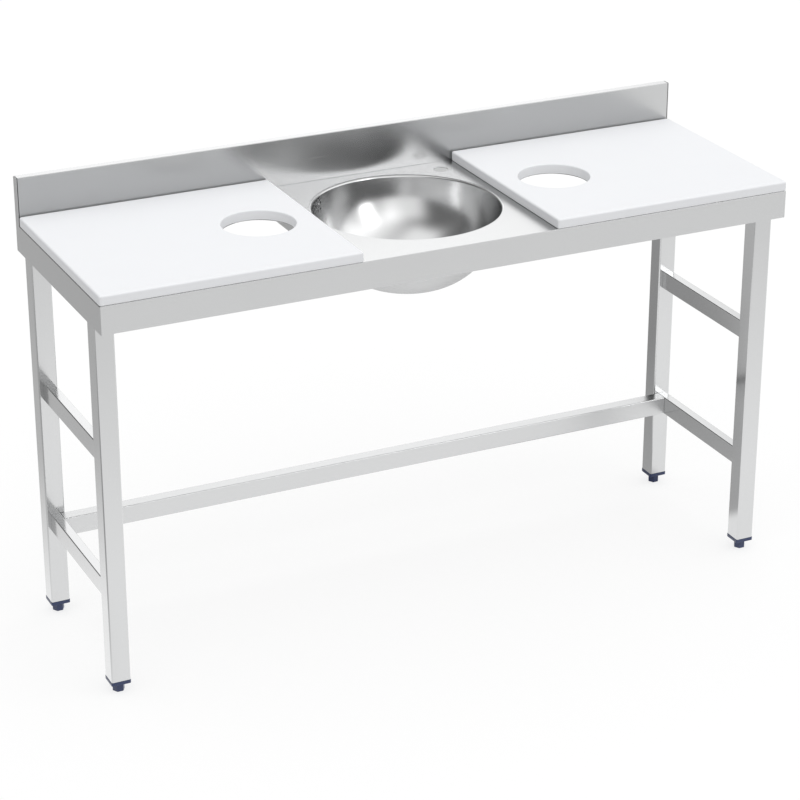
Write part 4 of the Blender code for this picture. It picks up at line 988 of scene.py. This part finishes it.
def threaded(radius, low, high):
    """A rod with a helical thread, closed at both ends."""
    count = int((high - low) / THREAD_PITCH * THREAD_ROWS)
    rows = []
    for k in range(count + 1):
        z = low + (high - low) * k / count
        end = min(1.0, (z - low) / THREAD_PITCH, (high - z) / THREAD_PITCH)
        row = []
        for i in range(THREAD_SEGMENTS):
            phase = (z / THREAD_PITCH - i / THREAD_SEGMENTS) % 1.0
            crest = 1 - abs(2 * phase - 1)
            r = radius - THREAD_DEPTH + THREAD_DEPTH * crest * end
            angle = 2 * pi * i / THREAD_SEGMENTS
            row.append((r * cos(angle), r * sin(angle), z))
        rows.append(row)
    return lofted(rows)


def make_cap(name, materials):
    """The plastic cap in a leg's end: a rounded flange under the tube and a ribbed plug in it."""
    low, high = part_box(f"leg_cap_{name}")
    middle = (low + high) / 2
    width = high.x - low.x
    flange_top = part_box(f"leg_{name}")[0].z - GAP
    bm = slab(
        width, width, LEG_CORNER_RADIUS, low.z, flange_top, CAP_TOP_ROUND, CAP_FOOT_ROUND, middle.xy
    )
    plug_width = width - 2 * CAP_OVERHANG - 2 * TUBE_WALL - 2 * GAP
    outline = rectangle(plug_width, plug_width, CAP_PLUG_CORNER, middle.xy)
    bm = carved(bm, [prism(outline, flange_top - CAP_PLUG_SINK, high.z)], "UNION")
    cutters = []
    for way in (-1, 1):
        for k in range(CAP_GROOVES):
            z = flange_top + CAP_GROOVE_START + CAP_GROOVE_PITCH * k
            for along in (0, 1):
                at = [middle.x, middle.y]
                at[1 - along] += way * plug_width / 2
                size = CAP_GROOVE_SIZE if along == 0 else CAP_GROOVE_SIZE[::-1]
                outline = rectangle(*size, CAP_GROOVE_CORNER, at, steps=2)
                cutters.append(prism(outline, z, z + CAP_GROOVE_HEIGHT))
    bore = circle(STUD_RADIUS + GAP, BORE_SEGMENTS, middle.xy)
    cutters.append(prism(bore, low.z - OVERCUT, high.z + OVERCUT))
    bm = carved(bm, cutters)
    plastic = materials["foot"]
    finish_piece(f"cap_{name}", bm, plastic, "table", f"leg_cap_{name}", 40)


def hexagon(flats, corner, middle):
    """A hexagon's outline with round corners."""
    points = []
    reach = (flats / 2 - corner) / cos(pi / 6)
    for k in range(6):
        angle = k * pi / 3
        centre = (middle[0] + reach * cos(angle), middle[1] + reach * sin(angle))
        points += arc(centre, corner, angle - pi / 6, angle + pi / 6, steps=4)
    return points


def make_pad(name, materials):
    """The hexagonal foot that turns the stud, with rounded ends and a socket for the stud."""
    low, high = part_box(f"foot_pad_{name}")
    middle = (low + high) / 2
    flats = high.y - low.y
    places = [(inset, low.z + up) for inset, up in PAD_FOOT_ROUND]
    places += [(inset, high.z - down) for inset, down in PAD_TOP_ROUND]
    rings = [
        [(u, v, z) for u, v in hexagon(flats - 2 * inset, PAD_CORNER, middle.xy)] for inset, z in places
    ]
    socket_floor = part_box(f"foot_stud_{name}")[0].z - GAP
    bore = circle(STUD_RADIUS + GAP, BORE_SEGMENTS, middle.xy)
    bm = carved(lofted(rings), [prism(bore, socket_floor, high.z + OVERCUT)])
    body, node = f"pad_{name}", f"foot_pad_{name}"
    finish_piece(f"pad_{name}_hex", bm, materials["foot"], body, node, 35)


def make_stud(name, materials):
    """The threaded stud between a leg's cap and its pad."""
    node = f"foot_stud_{name}"
    low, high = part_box(node)
    bm = threaded(STUD_RADIUS, low.z, high.z)
    bmesh.ops.translate(bm, verts=bm.verts, vec=((low.x + high.x) / 2, (low.y + high.y) / 2, 0))
    steel = materials["fitting"]
    finish_piece(f"stud_{name}_thread", bm, steel, f"stud_{name}", node, 50)


def make_feet(materials):
    for side in SIDES:
        for end in ENDS:
            name = f"{end}_{side}"
            make_cap(name, materials)
            make_pad(name, materials)
            make_stud(name, materials)


# Studio


# The floor's glow as polished faces see it, in metres from the table's middle, painted light and
# shade: a brighter painted pool of light in front of the table, painted shade beside it, a painted
# shadow behind it, a painted dark spot off its front left corner and a painted shadow strip that its
# right legs face. Each reach is where a share starts and ends.
FLOOR_RADIUS = 30.0
FLOOR_FAR = 1.04
FLOOR_FRONT = 1.34
FLOOR_FRONT_REACH = (-2.0, -0.7)
# Painted shadow in the floor's glow behind the table, and painted shade to its left.
FLOOR_REAR = 0.50
FLOOR_REAR_REACH = (0.15, 0.95)
FLOOR_BACK = 0.46
FLOOR_BACK_REACH = (-0.9, -0.3)
FLOOR_LEFT = 0.66
FLOOR_LEFT_REACH = (-1.3, -0.7)
# A painted dark spot of shade in the floor's glow, off the table's front left corner.
SHADE_SPOT_PLACE = (-1.75, -0.75, 0.0)
SHADE_SPOT_REACH = (0.55, 1.15)
SHADE_SPOT_SHARE = 0.4
# The painted shadow strip of the table in the floor's glow, which its right legs face.
STRIP_SLANT = 0.475
STRIP_PLACE = 0.71
STRIP_REACH = (0.22, 0.33)
STRIP_START = (-0.06, 0.0)
STRIP_SIDE = (0.70, 0.77)
STRIP_SHARE = 0.40
# The floor's paper, and its own light as the camera and as plain surfaces see it
FLOOR_PAPER = (0.25, 0.25, 0.25, 1)
FLOOR_SEEN_GLOW = 0.76
FLOOR_DULL_GLOW = 0.24


def glowing_paper(tree, strength):
    """Grey paper that gives off some light of its own."""
    paper = tree.add("ShaderNodeBsdfDiffuse", {"Color": FLOOR_PAPER})
    glow = tree.add("ShaderNodeEmission", {"Strength": strength})
    return tree.add("ShaderNodeAddShader", {0: paper.outputs[0], 1: glow.outputs[0]}).outputs[0]


def painted_floor_glow(tree, place):
    """The painted light and shade that polished faces see glowing from the floor at a place: the shares
    above, multiplied.
    """
    x, y, _ = tree.add("ShaderNodeSeparateXYZ", {0: place}).outputs
    painted_glow = tree.ranged(y, *FLOOR_FRONT_REACH, FLOOR_FAR, FLOOR_FRONT)
    # Painted shade: the floor's glow dimmed behind the table and to its left.
    behind = tree.ranged(y, *FLOOR_REAR_REACH, 1.0, FLOOR_REAR)
    behind = tree.maths("MAXIMUM", behind, tree.ranged(x, *FLOOR_BACK_REACH, 0.0, FLOOR_BACK))
    left = tree.ranged(x, *FLOOR_LEFT_REACH, FLOOR_LEFT, 1.0)
    # Painted shade: the floor's glow dimmed round a spot off the front left corner.
    away = tree.add("ShaderNodeVectorMath", {0: place, 1: SHADE_SPOT_PLACE}, operation="DISTANCE")
    painted_shade_spot = tree.ranged(away.outputs["Value"], *SHADE_SPOT_REACH, SHADE_SPOT_SHARE, 1.0)
    # Painted shadow: the floor's glow dimmed along a slanted strip under and beside the table.
    beside = tree.maths("ADD", x, tree.maths("MULTIPLY", y, STRIP_SLANT))
    beside = tree.maths("ABSOLUTE", tree.maths("SUBTRACT", beside, STRIP_PLACE))
    painted_shadow_strip = tree.ranged(beside, *STRIP_REACH, STRIP_SHARE, 1.0)
    painted_shadow_strip = tree.maths("MAXIMUM", painted_shadow_strip, tree.ranged(y, *STRIP_START, 1.0, 0.0))
    painted_shadow_strip = tree.maths("MAXIMUM", painted_shadow_strip, tree.ranged(x, *STRIP_SIDE, 0.0, 1.0))
    for share in (behind, left, painted_shade_spot, painted_shadow_strip):
        painted_glow = tree.maths("MULTIPLY", painted_glow, share)
    return painted_glow


def make_floor():
    bm = bmesh.new()
    bmesh.ops.create_circle(bm, cap_ends=True, radius=FLOOR_RADIUS, segments=96)
    mesh = bpy.data.meshes.new("floor")
    bm.to_mesh(mesh)
    bm.free()
    floor = bpy.data.objects.new("floor", mesh)
    bpy.context.scene.collection.objects.link(floor)
    material = bpy.data.materials.new("floor_paper")
    tree = Tree(material)
    tree.nodes.remove(tree.nodes["Principled BSDF"])
    path = tree.add("ShaderNodeLightPath").outputs
    place = tree.add("ShaderNodeTexCoord").outputs["Object"]
    painted_glow = painted_floor_glow(tree, place)
    # Polished faces see the floor glow with the painted light and shade; plain surfaces see an even
    # glow.
    bounced = glowing_paper(tree, tree.blend_value(path["Is Diffuse Ray"], painted_glow, FLOOR_DULL_GLOW))
    seen = glowing_paper(tree, FLOOR_SEEN_GLOW)
    chosen = tree.add("ShaderNodeMixShader", {0: path["Is Camera Ray"], 1: bounced, 2: seen})
    tree.links.new(chosen.outputs[0], tree.nodes["Material Output"].inputs["Surface"])
    material.cycles.emission_sampling = "NONE"
    mesh.materials.append(material)


# The studio's dome as polished faces see it: a plain base that is brighter on the right, and
# soft boxes, each by azimuth from +Y to +X, elevation, half width, half height and soft edge in
# degrees, and strength
BASE_REACH = (-0.1, 0.7)
BASE_LEFT = 0.22
BASE_RIGHT = 0.84
SOFT_BOXES = {
    "rear": (19, 27, 8, 15, 12, 1.36),
    "overhead": (150, 75, 24, 26, 28, 0.62),
    "front": (157, 28, 10, 14, 30, 0.50),
    "key": (151, 25, 4, 12, 6, 4.2),
    "top": (-112, 68, 8, 8, 18, 0.62),
    "camera_side": (-158, 20, 13, 10, 24, 1.10),
    "right_side": (85, 10, 22, 20, 28, 0.75),
}
# What lights plain surfaces: a plain sky that brightens towards one side
SKY_TOWARDS = (0.12, -0.35, 0.90)
SKY_REACH = (-0.5, 1.0)
SKY_FAR = 0.01
SKY_NEAR = 1.36
# What the camera sees behind the table
BACKDROP = 1.0


def soft_box(tree, direction, azimuth, elevation, half_width, half_height, edge, strength):
    """How bright a direction is in one soft box."""
    a, e = radians(azimuth), radians(elevation)
    middle = Vector((sin(a) * cos(e), cos(a) * cos(e), sin(e)))
    across = Vector((cos(a), -sin(a), 0))
    value = strength
    for axis, half in ((across, half_width), (middle.cross(across), half_height)):
        off = tree.maths("ABSOLUTE", tree.dot(direction, axis))
        full, none = sin(radians(half)), sin(radians(half + edge))
        value = tree.maths("MULTIPLY", tree.ranged(off, full, none, 1.0, 0.0, "SMOOTHSTEP"), value)
    ahead = tree.maths("GREATER_THAN", tree.dot(direction, middle), 0.0)
    return tree.maths("MULTIPLY", ahead, value)


def make_world():
    world = bpy.data.worlds.new("studio")
    bpy.context.scene.world = world
    world.cycles.sampling_method = "NONE"
    tree = Tree(world)
    background = tree.nodes["Background"]
    direction = tree.add("ShaderNodeTexCoord").outputs["Generated"]
    across = tree.add("ShaderNodeSeparateXYZ", {0: direction}).outputs[0]
    polished = tree.ranged(across, *BASE_REACH, BASE_LEFT, BASE_RIGHT)
    for box in SOFT_BOXES.values():
        polished = tree.maths("ADD", soft_box(tree, direction, *box), polished)
    upward = tree.dot(direction, Vector(SKY_TOWARDS).normalized())
    sky = tree.ranged(upward, *SKY_REACH, SKY_FAR, SKY_NEAR)
    path = tree.add("ShaderNodeLightPath").outputs
    dome = tree.blend_value(path["Is Diffuse Ray"], polished, sky)
    strength = tree.blend_value(path["Is Camera Ray"], dome, BACKDROP)
    tree.links.new(strength, background.inputs["Strength"])
    background.inputs["Color"].default_value = (1, 1, 1, 1)


# Putting it together


def make_materials():
    return {
        "worktop": brushed_steel("worktop_steel_fine", STEEL, 0.26, "X"),
        "bowl": polished_bowl("bowl_steel_fine", BOWL_STEEL, 0.20),
        "bowl_outside": polished_bowl("bowl_steel_dull", STEEL, 0.55),
        "tube_x": brushed_steel("tube_steel_x", STEEL, 0.32, "X"),
        "tube_y": brushed_steel("tube_steel_y", STEEL, 0.16, "Y"),
        "tube_z": brushed_steel("tube_steel_z", STEEL, 0.16, "Z"),
        "fitting": brushed_steel("fitting_steel_fine", STEEL, 0.32, "X"),
        "board": moulded(
            "board_polyethylene", (0.90, 0.91, 0.93), 0.60, 900.0, 0.08, tint=0.01, specular=0.1
        ),
        "foot": moulded("foot_plastic", (0.010, 0.022, 0.080), 0.42, 1200.0, 0.1),
        "rubber": moulded("seal_rubber", (0.03, 0.03, 0.03), 0.6, 1200.0, 0.1),
        "waste": moulded("waste_plastic", (0.55, 0.56, 0.57), 0.45, 1200.0, 0.08),
    }


SLOT_LOOKS = {
    "worktop_steel": "worktop",
    "bowl_steel": "bowl",
    "tube_steel": "tube_z",
    "fitting_steel": "fitting",
    "white_polyethylene": "board",
    "navy_plastic": "foot",
    "grey_plastic": "waste",
    "black_rubber": "rubber",
}


def dress_cad_nodes(materials):
    """Gives the CAD nodes their fine materials, and small edge rounds to those that stay."""
    slots = {part["node"]: part["material_slot"] for part in frame["record"]["subparts"]}
    for name, obj in frame["nodes"].items():
        mesh = obj.data
        mesh.materials.clear()
        mesh.materials.append(materials[SLOT_LOOKS[slots[name]]])
        if obj.hide_render:
            continue
        weld = obj.modifiers.new("weld", "WELD")
        weld.merge_threshold = WELD_REACH
        low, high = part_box(name)
        rounding = obj.modifiers.new("edge_rounds", "BEVEL")
        rounding.width = min(EDGE_ROUND, EDGE_ROUND_SHARE * min(high - low))
        rounding.segments = 3
        rounding.limit_method = "ANGLE"
        rounding.angle_limit = radians(40)


def main():
    make_camera()
    materials = make_materials()
    make_worktop(materials)
    make_backsplash(materials)
    make_bowl(materials)
    make_strainer(materials)
    make_drain_screw(materials)
    make_plug(materials)
    make_hose(materials)
    make_boards(materials)
    make_frame(materials)
    make_feet(materials)
    dress_cad_nodes(materials)
    make_floor()
    make_world()
    bpy.context.scene.view_settings.view_transform = "Standard"


main()
